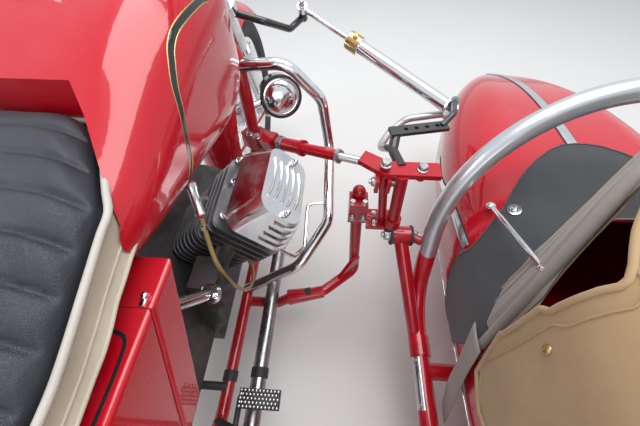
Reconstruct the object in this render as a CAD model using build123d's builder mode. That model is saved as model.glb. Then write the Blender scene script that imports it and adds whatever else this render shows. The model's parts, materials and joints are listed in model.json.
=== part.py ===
# Sidecar motorcycle: a transverse V-twin tourer with a torpedo sidecar on its right.
# Working frame: x = 0 is the motorcycle's centre plane, +X points to the sidecar,
# +Y forward, y = 0 is the rear axle, z = 0 is the ground. Millimetres.
from build123d import *
import os
from math import cos, radians, sin, sqrt, tan

os.makedirs("parts", exist_ok=True)

# Origin of the written pieces, on the ground under the middle of the outfit
origin_x = 525.24
origin_y = 617.5

# Wheels
wheelbase = 1470.0
tyre_radius = 325.0
tyre_width = 104.0
rim_radius = 245.0
rim_width = 74.0
rim_wall = 14.0
hub_radius = 92.0
hub_width = 80.0
axle_diameter = 17.0
sidecar_tyre_radius = 318.0
sidecar_wheel_x = 1356.0
sidecar_wheel_y = 235.0
spoke_diameter = 4.5
spoke_count = 36
bearing_gap = 2.0

# Steering head
rake = 28.0
fork_offset = 45.0
fork_half_track = 96.0
stanchion_diameter = 36.0
slider_diameter = 50.0
slider_length = 330.0
lower_yoke_z = 752.0
upper_yoke_z = 925.0
head_tube_diameter = 56.0
head_tube_low_z = 782.0
head_tube_high_z = 902.0
yoke_thickness = 26.0
headlamp_radius = 92.0

# Frame
frame_tube = 32.0
rail_x = 133.0
rail_z = 168.0
spine_diameter = 50.0
spine_z = 742.0
seat_rail_x = 105.0
seat_rail_z = 700.0
box_inner = 118.0
box_face = 176.0
box_front = 590.0
box_rear = 300.0
box_top = 711.0
box_low = 482.0
box_slant = 125.0
box_wall = 6.0
box_seam = 64.0
lid_sheet = 3.0
lid_gap = 1.0
pin_diameter = 4.0

# Engine
crank_z = 360.0
bank_angle = 45.0
barrel_seat = 125.0
barrel_length = 130.0
barrel_radius = 56.0
fin_size = 150.0
fin_thickness = 4.0
fin_count = 7
head_length = 92.0
cover_length = 66.0
cover_rib = 3.0
right_cylinder_y = 775.0
left_cylinder_y = 802.0

# Exhaust
pipe_diameter = 38.0
pipe_x = 214.0
pipe_z = 200.0
silencer_diameter = 84.0

# Sidecar
sidecar_x = 940.0
body_half_width = 290.0
chassis_tube = 42.0
chassis_x_left = 612.0
chassis_z = 240.0
hoop_leg_z = 460.0
hoop_leg_y = 812.0
hoop_lean = 20.0
rail_end_y = 620.0
sleeve_diameter = 50.0
wall = 6.0
coaming_z = 490.0
apron_edge_y = 998.0
apron_cloth = 9.0
glass_side_y = 565.0
glass_front_y = 780.0
glass_top_z = 868.0
hood_wall = 8.0
hub_x = 548.0
hub_y = 829.0
hub_z = 422.0
bracket_z = 609.0
bracket_y = 865.0

# Steering damper, eye at the fork and eye at the sidecar's lever
damper_eye = (272.0, 1340.0, 727.0)
lever_eye = (659.3, 1099.7, 599.2)
damper_tube = 34.0
damper_rod_diameter = 14.0
rod_eye_half = 8.0
tube_eye_half = 11.0
eye_gap = 0.3

chassis_x_right = 2 * sidecar_x - chassis_x_left
slope = tan(radians(rake))
axis_up = Vector(0, -sin(radians(rake)), cos(radians(rake)))
axis_y_at_axle = wheelbase - fork_offset * cos(radians(rake))
axis_z_at_axle = tyre_radius - fork_offset * sin(radians(rake))
hoop_radius = sidecar_x - chassis_x_left
hoop_foot_y = hoop_leg_y - (hoop_leg_z - chassis_z) * tan(radians(hoop_lean))
pieces = {}


def hoop_point(turn):
    """A point on the hoop's half circle, turned up from its left leg."""
    rise = hoop_radius * sin(radians(turn))
    return (sidecar_x - hoop_radius * cos(radians(turn)), hoop_leg_y + rise * sin(radians(hoop_lean)),
            hoop_leg_z + rise * cos(radians(hoop_lean)))


def axis_point(z, ahead=0.0):
    """The steering axis at height z, moved forward square to the axis."""
    y = axis_y_at_axle - (z - axis_z_at_axle) * slope
    return (y + ahead * cos(radians(rake)), z + ahead * sin(radians(rake)))


def fork_point(z):
    """The fork tubes' centre line at height z."""
    return wheelbase - (z - tyre_radius) * slope


def add_tube(points, diameter, bend=60.0, mode=Mode.ADD):
    """A round tube along straight runs joined by arcs."""
    with BuildLine() as route:
        if len(points) > 2:
            FilletPolyline(*points, radius=bend)
        else:
            Line(*points)
    with BuildSketch(Plane(origin=route.line @ 0, z_dir=route.line % 0)) as section:
        Circle(diameter / 2)
    sweep(section.sketch, path=route.line, mode=mode)


def add_bar(start, end, diameter, mode=Mode.ADD):
    """A straight round bar between two points."""
    add_tube([start, end], diameter, mode=mode)


def axis_pin(eye, start, end, radius, mode=Mode.ADD):
    """A pin along the steering axis's direction, from one height to another over an eye's centre."""
    base = Vector(*eye) + axis_up * start
    with BuildSketch(Plane(origin=base, x_dir=(1, 0, 0), z_dir=axis_up)) as section:
        Circle(radius)
    extrude(section.sketch, amount=end - start, mode=mode)


def keep(name, piece):
    """Files one finished piece under its node's name."""
    pieces[name] = piece


SIDES = (("right", 1), ("left", -1))

# Wheels: tyre, rim, hub and laced spokes
WHEELS = (
    # name, centre x, centre y, tyre radius
    ("front", 0.0, wheelbase, tyre_radius),
    ("rear", 0.0, 0.0, tyre_radius),
    ("sidecar", sidecar_wheel_x, sidecar_wheel_y, sidecar_tyre_radius),
)
for wheel, centre_x, centre_y, radius in WHEELS:
    side_plane = Plane(origin=(centre_x, centre_y, radius), x_dir=(0, 1, 0), z_dir=(1, 0, 0))
    section = Plane(origin=(centre_x, centre_y, radius), x_dir=(1, 0, 0), z_dir=(0, -1, 0))
    spin = Axis((centre_x, centre_y, radius), (1, 0, 0))
    with BuildPart() as tyre:
        with BuildSketch(section):
            with BuildLine():
                bead = Line((-rim_width / 2, rim_radius), (rim_width / 2, rim_radius))
                right_wall = ThreePointArc(bead @ 1, (tyre_width / 2, (rim_radius + radius) / 2 + 4),
                                           (tyre_width * 0.36, radius - 12))
                tread = ThreePointArc(right_wall @ 1, (0, radius), (-tyre_width * 0.36, radius - 12))
                ThreePointArc(tread @ 1, (-tyre_width / 2, (rim_radius + radius) / 2 + 4), bead @ 0)
            make_face()
        revolve(axis=spin)
    keep(f"{wheel}_tyre", tyre)

    with BuildPart() as laced_wheel:
        with BuildSketch(section):
            with BuildLine():
                Polyline((-rim_width / 2, rim_radius), (rim_width / 2, rim_radius),
                         (rim_width / 2, rim_radius - rim_wall), (14, rim_radius - 2 * rim_wall),
                         (-14, rim_radius - 2 * rim_wall), (-rim_width / 2, rim_radius - rim_wall),
                         close=True)
            make_face()
            with BuildLine():
                Polyline((-hub_width / 2, axle_diameter / 2), (hub_width / 2, axle_diameter / 2),
                         (hub_width / 2, hub_radius), (hub_width / 2 - 8, hub_radius),
                         (hub_width / 2 - 16, hub_radius - 22), (-hub_width / 2 + 16, hub_radius - 22),
                         (-hub_width / 2 + 8, hub_radius), (-hub_width / 2, hub_radius), close=True)
            make_face()
        revolve(axis=spin)
        for index in range(spoke_count):
            angle = index * 360 / spoke_count
            lean = 24 if index % 4 < 2 else -24
            edge = (hub_width / 2 - 4) * (1 if index % 2 else -1)
            foot = (cos(radians(angle)) * (hub_radius - 6), sin(radians(angle)) * (hub_radius - 6))
            reach = rim_radius - 2 * rim_wall + 3
            top = (cos(radians(angle + lean)) * reach, sin(radians(angle + lean)) * reach)
            add_bar((centre_x + edge, centre_y + foot[0], radius + foot[1]),
                    (centre_x + edge * 0.2, centre_y + top[0], radius + top[1]), spoke_diameter)
    keep(f"{wheel}_wheel", laced_wheel)

# Frame spine: head tube, backbone and seat loop
with BuildPart() as frame_spine:
    add_bar((0, axis_point(head_tube_low_z)[0], head_tube_low_z),
            (0, axis_point(head_tube_high_z)[0], head_tube_high_z), head_tube_diameter)
    add_bar((0, axis_point(850)[0], 850), (0, axis_point(850)[0] - 60, spine_z + 60), spine_diameter)
    add_tube([(0, axis_point(830)[0], 830), (0, 1040, spine_z + 8), (0, 250, spine_z - 78)],
             spine_diameter, 120)
    add_tube([(-seat_rail_x, 520, seat_rail_z - 60), (-seat_rail_x, 420, seat_rail_z),
              (-seat_rail_x, -150, seat_rail_z), (seat_rail_x, -150, seat_rail_z),
              (seat_rail_x, 420, seat_rail_z), (seat_rail_x, 520, seat_rail_z - 60)], frame_tube * 0.75, 50)
    for brace_y in (450, 120):
        add_bar((-seat_rail_x, brace_y, seat_rail_z), (seat_rail_x, brace_y, seat_rail_z), 22)
    add_bar((-box_inner, 450, seat_rail_z - 16), (box_inner, 450, seat_rail_z - 16), 20)
    add_bar((0, 120, seat_rail_z), (0, 120, seat_rail_z - 26), 16)
    for saddle_y in (780, 1000):
        with Locations((0, saddle_y, spine_z + 7)):
            Box(40, 30, 70)
keep("frame_spine", frame_spine)

with BuildPart() as frame_cradles:
    add_tube([(24, 1138, 800), (140, 1115, 720), (158, 1066, 509), (rail_x, 985, rail_z), (rail_x, 404, rail_z),
              (118, 386, 330), (100, 378, 470), (100, 378, seat_rail_z)], frame_tube, 60)
    mirror(about=Plane.YZ)
    add(frame_spine.part, mode=Mode.SUBTRACT)
keep("frame_cradles", frame_cradles)

# Engine block with its sump, gearbox and front cover, its upper faces square to the bores
bank_reach = barrel_seat / cos(radians(bank_angle))
with BuildPart() as engine_block:
    with BuildSketch(Plane.XZ.offset(-965)):
        with BuildLine():
            Polyline((-96, 172), (96, 172), (96, 240), (140, 325), (140, crank_z + bank_reach - 140),
                     (44, crank_z + bank_reach - 44), (-44, crank_z + bank_reach - 44),
                     (-140, crank_z + bank_reach - 140), (-140, 325), (-96, 240), close=True)
        make_face()
    extrude(amount=345)
    with Locations((0, 525, 345)):
        Box(180, 200, 210)
    with Locations(Location((0, 990, crank_z), (90, 0, 0))):
        Cylinder(88, 52)
    for bolt_y in (930, 505):
        add_bar((-rail_x, bolt_y, rail_z + 16), (rail_x, bolt_y, rail_z + 16), 20)
    add(frame_cradles.part, mode=Mode.SUBTRACT)
keep("engine_block", engine_block)

# Cylinder banks: each is built square to its own axis, leaning out from the crankshaft
BANKS = (
    # side, y of the bore
    (1, right_cylinder_y),
    (-1, left_cylinder_y),
)
lean = radians(bank_angle)
head_seat = barrel_seat + barrel_length
cover_seat = head_seat + head_length
port_reach = head_seat + head_length / 2


def bank_plane(side, bore_y, distance):
    """A plane square to one bore, at a distance from the crankshaft."""
    out = Vector(side * sin(lean), 0, cos(lean))
    return Plane(origin=Vector(0, bore_y, crank_z) + out * distance, x_dir=(0, 1, 0), z_dir=out)


with BuildPart() as cylinders:
    for side, bore_y in BANKS:
        with BuildSketch(bank_plane(side, bore_y, barrel_seat)):
            Circle(barrel_radius)
        extrude(amount=barrel_length)
        for index in range(fin_count):
            with BuildSketch(bank_plane(side, bore_y, barrel_seat + 12 + index * 16)):
                RectangleRounded(fin_size, fin_size * 0.94, 34)
            extrude(amount=fin_thickness)
        with BuildSketch(bank_plane(side, bore_y, head_seat)):
            RectangleRounded(fin_size - 24, fin_size - 34, 20)
        extrude(amount=head_length)
        for index in range(4):
            with BuildSketch(bank_plane(side, bore_y, head_seat + 6 + index * 18)):
                RectangleRounded(fin_size + 14, fin_size - 6, 18)
            extrude(amount=fin_thickness + 1)
keep("cylinders", cylinders)

def add_cover(side, bore_y, grow, mode=Mode.ADD):
    """One rocker cover's tapered form, grown all round."""
    sketches = []
    for distance, length, width, corner in ((cover_seat, fin_size + 34, fin_size - 22, 28),
                                            (cover_seat + cover_length, fin_size - 6, fin_size - 66, 24)):
        with BuildSketch(bank_plane(side, bore_y, distance)) as station:
            RectangleRounded(length + 2 * grow, width + 2 * grow, corner + grow)
        sketches.append(station.sketch)
    loft(sketches, mode=mode)


with BuildPart() as rocker_covers:
    for side, bore_y in BANKS:
        add_cover(side, bore_y, 0)
        with BuildPart(mode=Mode.PRIVATE) as ribs:
            add_cover(side, bore_y, 5)
            with BuildPart(mode=Mode.PRIVATE) as slabs:
                for rise in (10, 24, 38, 52):
                    with BuildSketch(bank_plane(side, bore_y, cover_seat + rise)) as slab:
                        with Locations((0, -side * 60)):
                            Rectangle(fin_size + 60, 120)
                    extrude(slab.sketch, amount=cover_rib)
            add(slabs.part, mode=Mode.INTERSECT)
        add(ribs.part)
keep("rocker_covers", rocker_covers)

with BuildPart() as carburettors:
    for side, bore_y in BANKS:
        with Locations((side * 148, bore_y - 125, crank_z + 140)):
            Box(50, 64, 84)
        with Locations((side * 148, bore_y - 125, crank_z + 84)):
            Cylinder(24, 40)
        add_bar((side * 160, bore_y - 94, crank_z + 160), (side * 196, bore_y - 48, crank_z + 214), 38)
    add(cylinders.part, mode=Mode.SUBTRACT)
keep("carburettors", carburettors)

with BuildPart() as exhausts:
    for side, bore_y in BANKS:
        port_x = side * port_reach * sin(lean)
        port_z = crank_z + port_reach * cos(lean)
        add_tube([(port_x, bore_y + 50, port_z), (port_x, bore_y + 125, port_z),
                  (side * (pipe_x + 6), bore_y + 175, port_z - 90), (side * pipe_x, bore_y + 175, pipe_z),
                  (side * pipe_x, 350, pipe_z)], pipe_diameter, 48)
        with Locations(Location((port_x, bore_y + 86, port_z), (90, 0, 0))):
            Cylinder(32, 18)
        with BuildSketch(Plane(origin=(side * pipe_x, 385, pipe_z), x_dir=(1, 0, 0), z_dir=(0, -1, 0))):
            Circle(pipe_diameter / 2 + 3)
        with BuildSketch(Plane(origin=(side * pipe_x, 300, pipe_z), x_dir=(1, 0, 0), z_dir=(0, -1, 0))):
            Circle(silencer_diameter / 2)
        loft(ruled=True)
        add_bar((side * pipe_x, 300, pipe_z), (side * pipe_x, -320, pipe_z), silencer_diameter)
    add(cylinders.part, mode=Mode.SUBTRACT)
keep("exhausts", exhausts)

# Crash bars round the cylinders, with a light rod that guards each head from below
with BuildPart() as crash_bars:
    add_tube([(142, 1104, 690), (255, 1098, 702), (338, 1102, 610), (362, 1085, 470),
              (368, 880, 392), (296, 778, 328), (rail_x, 765, rail_z + 12)], 28, 60)
    add_tube([(216, 770, 470), (290, 768, 395), (312, 800, 388), (310, 926, 405), (364, 930, 411)], 10, 16)
    mirror(about=Plane.YZ)
    add(frame_cradles.part, mode=Mode.SUBTRACT)
    add(exhausts.part, mode=Mode.SUBTRACT)
    add(cylinders.part, mode=Mode.SUBTRACT)
keep("crash_bars", crash_bars)

# Seat, its profile shared by the pad, the skirt and the recess in the tank
SEAT_TOP = ((728, 812), (700, 848), (600, 842), (430, 806), (250, 800), (60, 826), (-110, 812))
SEAT_SPLIT = ((728, 796), (600, 796), (430, 756), (-110, 762))
SEAT_FLOOR = ((728, 780), (600, 752), (430, 728), (-110, 728))
SEAT_PLAN = ((70, 728), (96, 690), (148, 590), (158, 430), (156, -70), (120, -110))


def add_seat_part(top, bottom, grow=0.0):
    """A slice of the seat between two side profiles, trimmed to the seat's plan."""
    with BuildSketch(Plane.YZ.offset(-200)) as profile:
        with BuildLine():
            Polyline(*[(y + grow, z) for y, z in top], *[(y + grow, z - grow) for y, z in reversed(bottom)],
                     close=True)
        make_face()
    extrude(profile.sketch, amount=400)
    with BuildSketch(Plane.XY.offset(600)) as plan:
        with BuildLine():
            half = [(x + grow, y + grow) for x, y in SEAT_PLAN]
            Polyline(*half, *[(-x, y) for x, y in reversed(half)], close=True)
        make_face()
    extrude(plan.sketch, amount=400, mode=Mode.INTERSECT)


with BuildPart() as seat_pad:
    add_seat_part(SEAT_TOP, SEAT_SPLIT)
keep("seat_pad", seat_pad)
with BuildPart() as seat_skirt:
    add_seat_part(SEAT_SPLIT, SEAT_FLOOR)
keep("seat_skirt", seat_skirt)

# Fuel tank over the backbone, hollowed where the seat's nose sits between its shoulders
tank_gap = 0.3
TANK = (
    # y, half width, bottom, top, corner radius
    (532, 128, 742, 778, 16),
    (580, 152, 716, 806, 44),
    (660, 163, 690, 836, 66),
    (760, 172, 670, 884, 82),
    (870, 183, 655, 926, 88),
    (980, 185, 665, 934, 86),
    (1045, 160, 715, 908, 66),
    (1084, 90, 790, 862, 32),
)
with BuildPart() as fuel_tank:
    for y, half, low, high, corner in TANK:
        with BuildSketch(Plane(origin=(0, y, (low + high) / 2), x_dir=(1, 0, 0), z_dir=(0, -1, 0))):
            RectangleRounded(2 * half, high - low, corner)
    loft()
    with Locations((0, 830, spine_z - 58)):
        Box(64, 700, 200, mode=Mode.SUBTRACT)
    with BuildPart(mode=Mode.PRIVATE) as seat_room:
        add_seat_part(((728, 1000), (-110, 1000)), SEAT_FLOOR, tank_gap)
    add(seat_room.part, mode=Mode.SUBTRACT)
    add(frame_spine.part, mode=Mode.SUBTRACT)
    add_bar((150, 730, 700), (168, 690, 662), 14)
keep("fuel_tank", fuel_tank)
with BuildPart() as fuel_hose:
    add_tube([(168, 690, 661.7), (172, 668, 614), (185, 641, 566), (191, 655, 446), (203, 686, 390), (186, 760, 378),
              (140.3, 790, 378)], 8, 20)
    add(fuel_tank.part, mode=Mode.SUBTRACT)
    add(engine_block.part, mode=Mode.SUBTRACT)
keep("fuel_hose", fuel_hose)
with BuildPart() as filler_cap:
    with Locations((0, 890, 940)):
        Cylinder(36, 34)
    add(fuel_tank.part, mode=Mode.SUBTRACT)
keep("filler_cap", filler_cap)

# Toolboxes: an inner wall with a fixed front block, and a hollow lid hinged along its lower outer edge
pin_x = box_face - 2
pin_z = box_low - 5
knuckle_diameter = 11.0


def box_edge(z):
    """The slanted front edge of the toolbox at height z."""
    return box_front - (box_top - z) * box_slant / (box_top - box_low)


def add_box_slab(inner, outer, side, front, rear, inset=0.0, mode=Mode.ADD):
    """A slab between two planes, its front edge a distance behind the toolbox's own."""
    high = box_top - inset
    low = box_low + inset
    with BuildSketch(Plane.YZ.offset(side * inner)) as outline:
        with BuildLine():
            Polyline((box_edge(high) - front, high), (box_edge(low) - front, low), (rear(low), low),
                     (rear(high), high), close=True)
        make_face()
    extrude(outline.sketch, amount=side * (outer - inner), mode=mode)


with BuildPart() as toolboxes:
    for side in (1, -1):
        add_box_slab(box_inner, box_inner + box_wall, side, 0, lambda z: box_rear)
        add_box_slab(box_inner + box_wall, box_face, side, 0, lambda z: box_edge(z) - box_seam)
    for place in (-1, 0):
        fillet(toolboxes.faces().sort_by(Axis.X)[place].edges(), 6)
    for side in (1, -1):
        for strap_y in (box_rear + 8, box_rear + 90):
            with Locations((side * (box_inner + pin_x + 4) / 2, strap_y, pin_z - 0.5)):
                Box(pin_x + 4 - box_inner, 8, 7)
            with Locations((side * (box_inner + box_wall / 2), strap_y, box_low)):
                Box(box_wall, 8, 20)
        add_bar((side * pin_x, box_rear + 2, pin_z), (side * pin_x, box_rear + 96, pin_z), pin_diameter)
keep("toolboxes", toolboxes)
for tag, side in SIDES:
    with BuildPart() as lid:
        skin_front = box_seam + lid_gap
        lid_inner = box_inner + box_wall + lid_gap
        edge_slope = box_slant / (box_top - box_low)
        add_box_slab(lid_inner, box_face, side, skin_front, lambda z: box_rear)
        fillet(lid.faces().sort_by(Axis.X)[-1 if side > 0 else 0].edges(), 7)
        add_box_slab(lid_inner - 1, box_face - lid_sheet, side, skin_front + lid_sheet * sqrt(1 + edge_slope ** 2),
                     lambda z: box_rear + lid_sheet, lid_sheet, mode=Mode.SUBTRACT)
        add_bar((side * pin_x, box_rear + 18, pin_z), (side * pin_x, box_rear + 80, pin_z), knuckle_diameter)
        add_bar((side * pin_x, box_rear, pin_z), (side * pin_x, box_rear + 98, pin_z), pin_diameter + 0.4,
                mode=Mode.SUBTRACT)
    keep(f"toolbox_lid_{tag}", lid)

# Mudguards: an arched sheet turned about the wheel's axle
def add_guard(centre, half_width, edge, crown, ahead, arc, solid=False, mode=Mode.ADD):
    """The sheet from its front end, ahead of the top, back round the wheel; or its filled form."""
    turn = radians(ahead)
    plane = Plane(origin=centre, x_dir=(1, 0, 0), z_dir=(0, -cos(turn), sin(turn)))
    with BuildSketch(plane) as section:
        with BuildLine():
            outer = ThreePointArc((-half_width, edge), (0, crown), (half_width, edge))
            if solid:
                Polyline(outer @ 1, (half_width, 0), (-half_width, 0), outer @ 0)
            else:
                Line(outer @ 1, (half_width - 4, edge - 4))
                inner = ThreePointArc((half_width - 4, edge - 4), (0, crown - 5), (4 - half_width, edge - 4))
                Line(inner @ 1, outer @ 0)
        make_face()
    revolve(section.sketch, axis=Axis(centre, (1, 0, 0)), revolution_arc=arc, mode=mode)


# Rear mudguard, swinging arm, bevel box, dampers
rear_guard = ((0, 0, tyre_radius), 84, 334, 372, 38)
with BuildPart() as rear_mudguard:
    add_guard(*rear_guard, 146)
    add(frame_spine.part, mode=Mode.SUBTRACT)
keep("rear_mudguard", rear_mudguard)

with BuildPart() as swing_arm:
    for side in (1, -1):
        add_bar((side * 92, 392, tyre_radius - 4), (side * 92, -24, tyre_radius), 44)
    add_bar((-118, 400, tyre_radius - 4), (118, 400, tyre_radius - 4), 43)
    with Locations(Location((94, 0, tyre_radius), (0, 90, 0))):
        Cylinder(80, 62)
    add_bar((-112, 0, tyre_radius), (132, 0, tyre_radius), axle_diameter - 0.6)
    add(frame_cradles.part, mode=Mode.SUBTRACT)
keep("swing_arm", swing_arm)
with BuildPart() as rear_dampers:
    add_bar((128, 30, tyre_radius + 60), (128, 120, 640), 26)
    add_bar((128, 48, 430), (128, 110, 600), 54)
    add_bar((128, 120, 640), (128, 132, 700), 30)
    add_bar((128, 130, 690), (80, 130, seat_rail_z), 20)
    add_bar((128, 32, tyre_radius + 62), (84, 32, tyre_radius + 20), 22)
    mirror(about=Plane.YZ)
    add(swing_arm.part, mode=Mode.SUBTRACT)
    add(frame_spine.part, mode=Mode.SUBTRACT)
    add(rear_mudguard.part, mode=Mode.SUBTRACT)
keep("rear_dampers", rear_dampers)
with BuildPart() as tail_lamp:
    with Locations((0, -345, 520)):
        Box(80, 80, 96)
    add_guard(*rear_guard, 146, solid=True, mode=Mode.SUBTRACT)
keep("tail_lamp", tail_lamp)
with BuildPart() as plate_bracket:
    with Locations((0, -396, 400)):
        Box(210, 4, 190)
    with Locations((0, -374, 400)):
        Box(60, 44, 30)
    with Locations(Location((-80, -396, 460), (90, 0, 0)), Location((80, -396, 460), (90, 0, 0))):
        Cylinder(3.5, 20, mode=Mode.SUBTRACT)
    add_guard(*rear_guard, 146, solid=True, mode=Mode.SUBTRACT)
keep("plate_bracket", plate_bracket)

# Footrests, brake pedal and horn
with BuildPart() as foot_controls:
    add_bar((rail_x - 4, 430, rail_z + 14), (252, 395, 270), 22)
    with Locations((236, 396, 276)):
        Box(96, 46, 26)
    mirror(about=Plane.YZ)
    add_tube([(163, 420, 206), (196, 416, 283), (197, 478, 290)], 12, 16)
    with Locations((240, 475, 293)):
        Box(88, 38, 16)
    add(frame_cradles.part, mode=Mode.SUBTRACT)
    add(exhausts.part, mode=Mode.SUBTRACT)
keep("foot_controls", foot_controls)
with BuildPart() as horn:
    with Locations(Location((226, 1130, 600), (70, 20, 0))):
        Cylinder(52, 46)
    add_bar((150, 1084, 590), (218, 1124, 598), 18)
    add(frame_cradles.part, mode=Mode.SUBTRACT)
    add(crash_bars.part, mode=Mode.SUBTRACT)
keep("horn", horn)

# Fork: lower and upper yokes with the stem, sliders, mudguard, headlamp, handlebar
low_y = axis_point(lower_yoke_z)[0]
high_y = axis_point(upper_yoke_z)[0]


def yoke_plane(z):
    """A plane square to the steering axis at height z."""
    return Plane(origin=(0, axis_point(z)[0], z), x_dir=(1, 0, 0), z_dir=axis_up)


with BuildPart() as fork:
    for height in (lower_yoke_z, upper_yoke_z):
        with BuildSketch(yoke_plane(height)):
            Circle(34)
            with Locations((0, fork_offset * 0.8)):
                RectangleRounded(2 * fork_half_track + 62, 58, 28)
        extrude(amount=yoke_thickness / 2, both=True)
    for side in (1, -1):
        add_bar((side * fork_half_track, fork_point(560), 560),
                (side * fork_half_track, fork_point(upper_yoke_z + 22), upper_yoke_z + 22), stanchion_diameter)
    add_bar((0, low_y, lower_yoke_z), (0, high_y, upper_yoke_z), 24)
keep("fork", fork)
with frame_spine:
    add_bar((0, low_y, lower_yoke_z), (0, high_y, upper_yoke_z), 25, mode=Mode.SUBTRACT)
with BuildPart() as fork_sliders:
    add_bar((fork_half_track, fork_point(300), 300), (fork_half_track, fork_point(632), 632), slider_diameter)
    with Locations(Location((fork_half_track - 8, wheelbase, tyre_radius), (0, 90, 0))):
        Cylinder(26, 60)
    mirror(about=Plane.YZ)
    add(fork.part, mode=Mode.SUBTRACT)
    add_bar((-128, wheelbase, tyre_radius), (128, wheelbase, tyre_radius), axle_diameter - 0.6)
keep("fork_sliders", fork_sliders)
with BuildPart() as front_mudguard:
    add_guard((0, wheelbase, tyre_radius), 70, 318, 352, 34, 130)
    for side in (1, -1):
        add_bar((side * fork_half_track, fork_point(614), 614), (side * 56, fork_point(614), 614), 14)
        add_bar((side * (fork_half_track + 4), wheelbase - 12, tyre_radius + 8),
                (side * 66, wheelbase - 314, tyre_radius + 40), 9)
    add(fork_sliders.part, mode=Mode.SUBTRACT)
    add(fork.part, mode=Mode.SUBTRACT)
keep("front_mudguard", front_mudguard)
lamp_y = axis_point(848)[0] + 165
with BuildPart() as headlamp:
    with BuildSketch(Plane(origin=(0, lamp_y, 848), x_dir=(0, 1, 0), z_dir=(1, 0, 0))) as half_section:
        with BuildLine():
            Polyline((68, 0), (-66, 0), (-66, 30), (-48, 58), (-10, 80), (30, headlamp_radius - 4),
                     (34, headlamp_radius), (52, headlamp_radius - 4), (62, 52), (68, 0))
        make_face()
    revolve(axis=Axis((0, lamp_y, 848), (0, 1, 0)))
    for side in (1, -1):
        add_bar((side * (headlamp_radius - 30), lamp_y - 8, 850), (side * fork_half_track, fork_point(850), 850), 18)
    add(fork.part, mode=Mode.SUBTRACT)
keep("headlamp", headlamp)
bar_y = high_y - 10
with BuildPart() as handlebar:
    add_tube([(-352, bar_y - 190, 1010), (-210, bar_y - 120, 1040), (-130, bar_y - 20, 990), (130, bar_y - 20, 990),
              (210, bar_y - 120, 1040), (352, bar_y - 190, 1010)], 22, 36)
    for side in (1, -1):
        add_bar((side * 50, high_y, upper_yoke_z), (side * 50, bar_y - 20, 990), 26)
        add_tube([(side * 226, bar_y - 128, 1036), (side * 240, bar_y - 96, 1022), (side * 350, bar_y - 148, 996)], 9, 14)
    add(fork.part, mode=Mode.SUBTRACT)
keep("handlebar", handlebar)
with BuildPart() as instruments:
    for side in (1, -1):
        dial = Plane(origin=(side * 48, high_y + 44, 985), x_dir=(1, 0, 0),
                     z_dir=(0, -sin(radians(40)), cos(radians(40))))
        with BuildSketch(dial):
            Circle(42)
        extrude(amount=-46)
        with BuildSketch(dial):
            Circle(45)
            Circle(38, mode=Mode.SUBTRACT)
        extrude(amount=4)
        add_bar((side * 48, high_y + 14, upper_yoke_z + 8), (side * 48, high_y + 52, 960), 20)
    add(fork.part, mode=Mode.SUBTRACT)
    add(handlebar.part, mode=Mode.SUBTRACT)
keep("instruments", instruments)
with BuildPart() as mirrors:
    for side in (1, -1):
        add_tube([(side * 214, bar_y - 122, 1038), (side * 226, bar_y - 112, 1120), (side * 262, bar_y - 104, 1160)], 9, 30)
        with Locations(Location((side * 270, bar_y - 104, 1166), (80, 0, 0))):
            Cylinder(56, 14)
    add(handlebar.part, mode=Mode.SUBTRACT)
keep("mirrors", mirrors)
with BuildPart() as damper_bracket:
    foot = Vector(*damper_eye) - axis_up * 30
    add_tube([(fork_half_track, fork_point(lower_yoke_z), lower_yoke_z), (190, 1235, 733), (240, 1300, 690),
              tuple(foot)], 18, 24)
    axis_pin(damper_eye, -36, -rod_eye_half - eye_gap, 12)
    add(fork.part, mode=Mode.SUBTRACT)
keep("damper_bracket", damper_bracket)

# Torpedo body, a loft whose stations the lining, the apron and the strips share
BODY = (
    # y, half width, bottom, top, corner radius
    (-560, 120, 330, 470, 60),
    (-380, 215, 285, 560, 110),
    (0, 280, 270, 590, 120),
    (500, 290, 268, 590, 125),
    (976, 272, 270, 582, 130),
    (1250, 214, 282, 560, 118),
    (1440, 128, 320, 500, 80),
    (1545, 44, 372, 448, 34),
)


def add_hull(grow, first=0, last=len(BODY), mode=Mode.ADD):
    """The torpedo shape, grown or shrunk by one wall all round."""
    sketches = []
    for y, half, low, high, corner in BODY[first:last]:
        with BuildSketch(Plane(origin=(sidecar_x, y, (low + high) / 2), x_dir=(1, 0, 0), z_dir=(0, -1, 0))) as station:
            RectangleRounded(2 * (half + grow), high - low + 2 * grow, corner + grow)
        sketches.append(station.sketch)
    loft(sketches, mode=mode)


# Sidecar chassis, hoop and tower
with BuildPart() as sidecar_chassis:
    add_tube([(chassis_x_left, rail_end_y, chassis_z), (chassis_x_left, -330, chassis_z), (720, -430, chassis_z),
              (chassis_x_right - 108, -430, chassis_z), (chassis_x_right, -330, chassis_z),
              (chassis_x_right, rail_end_y, chassis_z)], chassis_tube, 80)
    for rail in (chassis_x_left, chassis_x_right):
        add_bar((rail, rail_end_y - 28, chassis_z), (rail, rail_end_y, chassis_z), sleeve_diameter)
keep("sidecar_chassis", sidecar_chassis)
with BuildPart() as chassis_beams:
    for beam_y in (560, -60):
        add_bar((chassis_x_left, beam_y, chassis_z), (chassis_x_right, beam_y, chassis_z), 38)
        for mount_x in (sidecar_x - 140, sidecar_x + 140):
            with Locations((mount_x, beam_y, chassis_z + 25)):
                Box(60, 50, 50)
    add(sidecar_chassis.part, mode=Mode.SUBTRACT)
    add_hull(0, mode=Mode.SUBTRACT)
keep("chassis_beams", chassis_beams)
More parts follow.
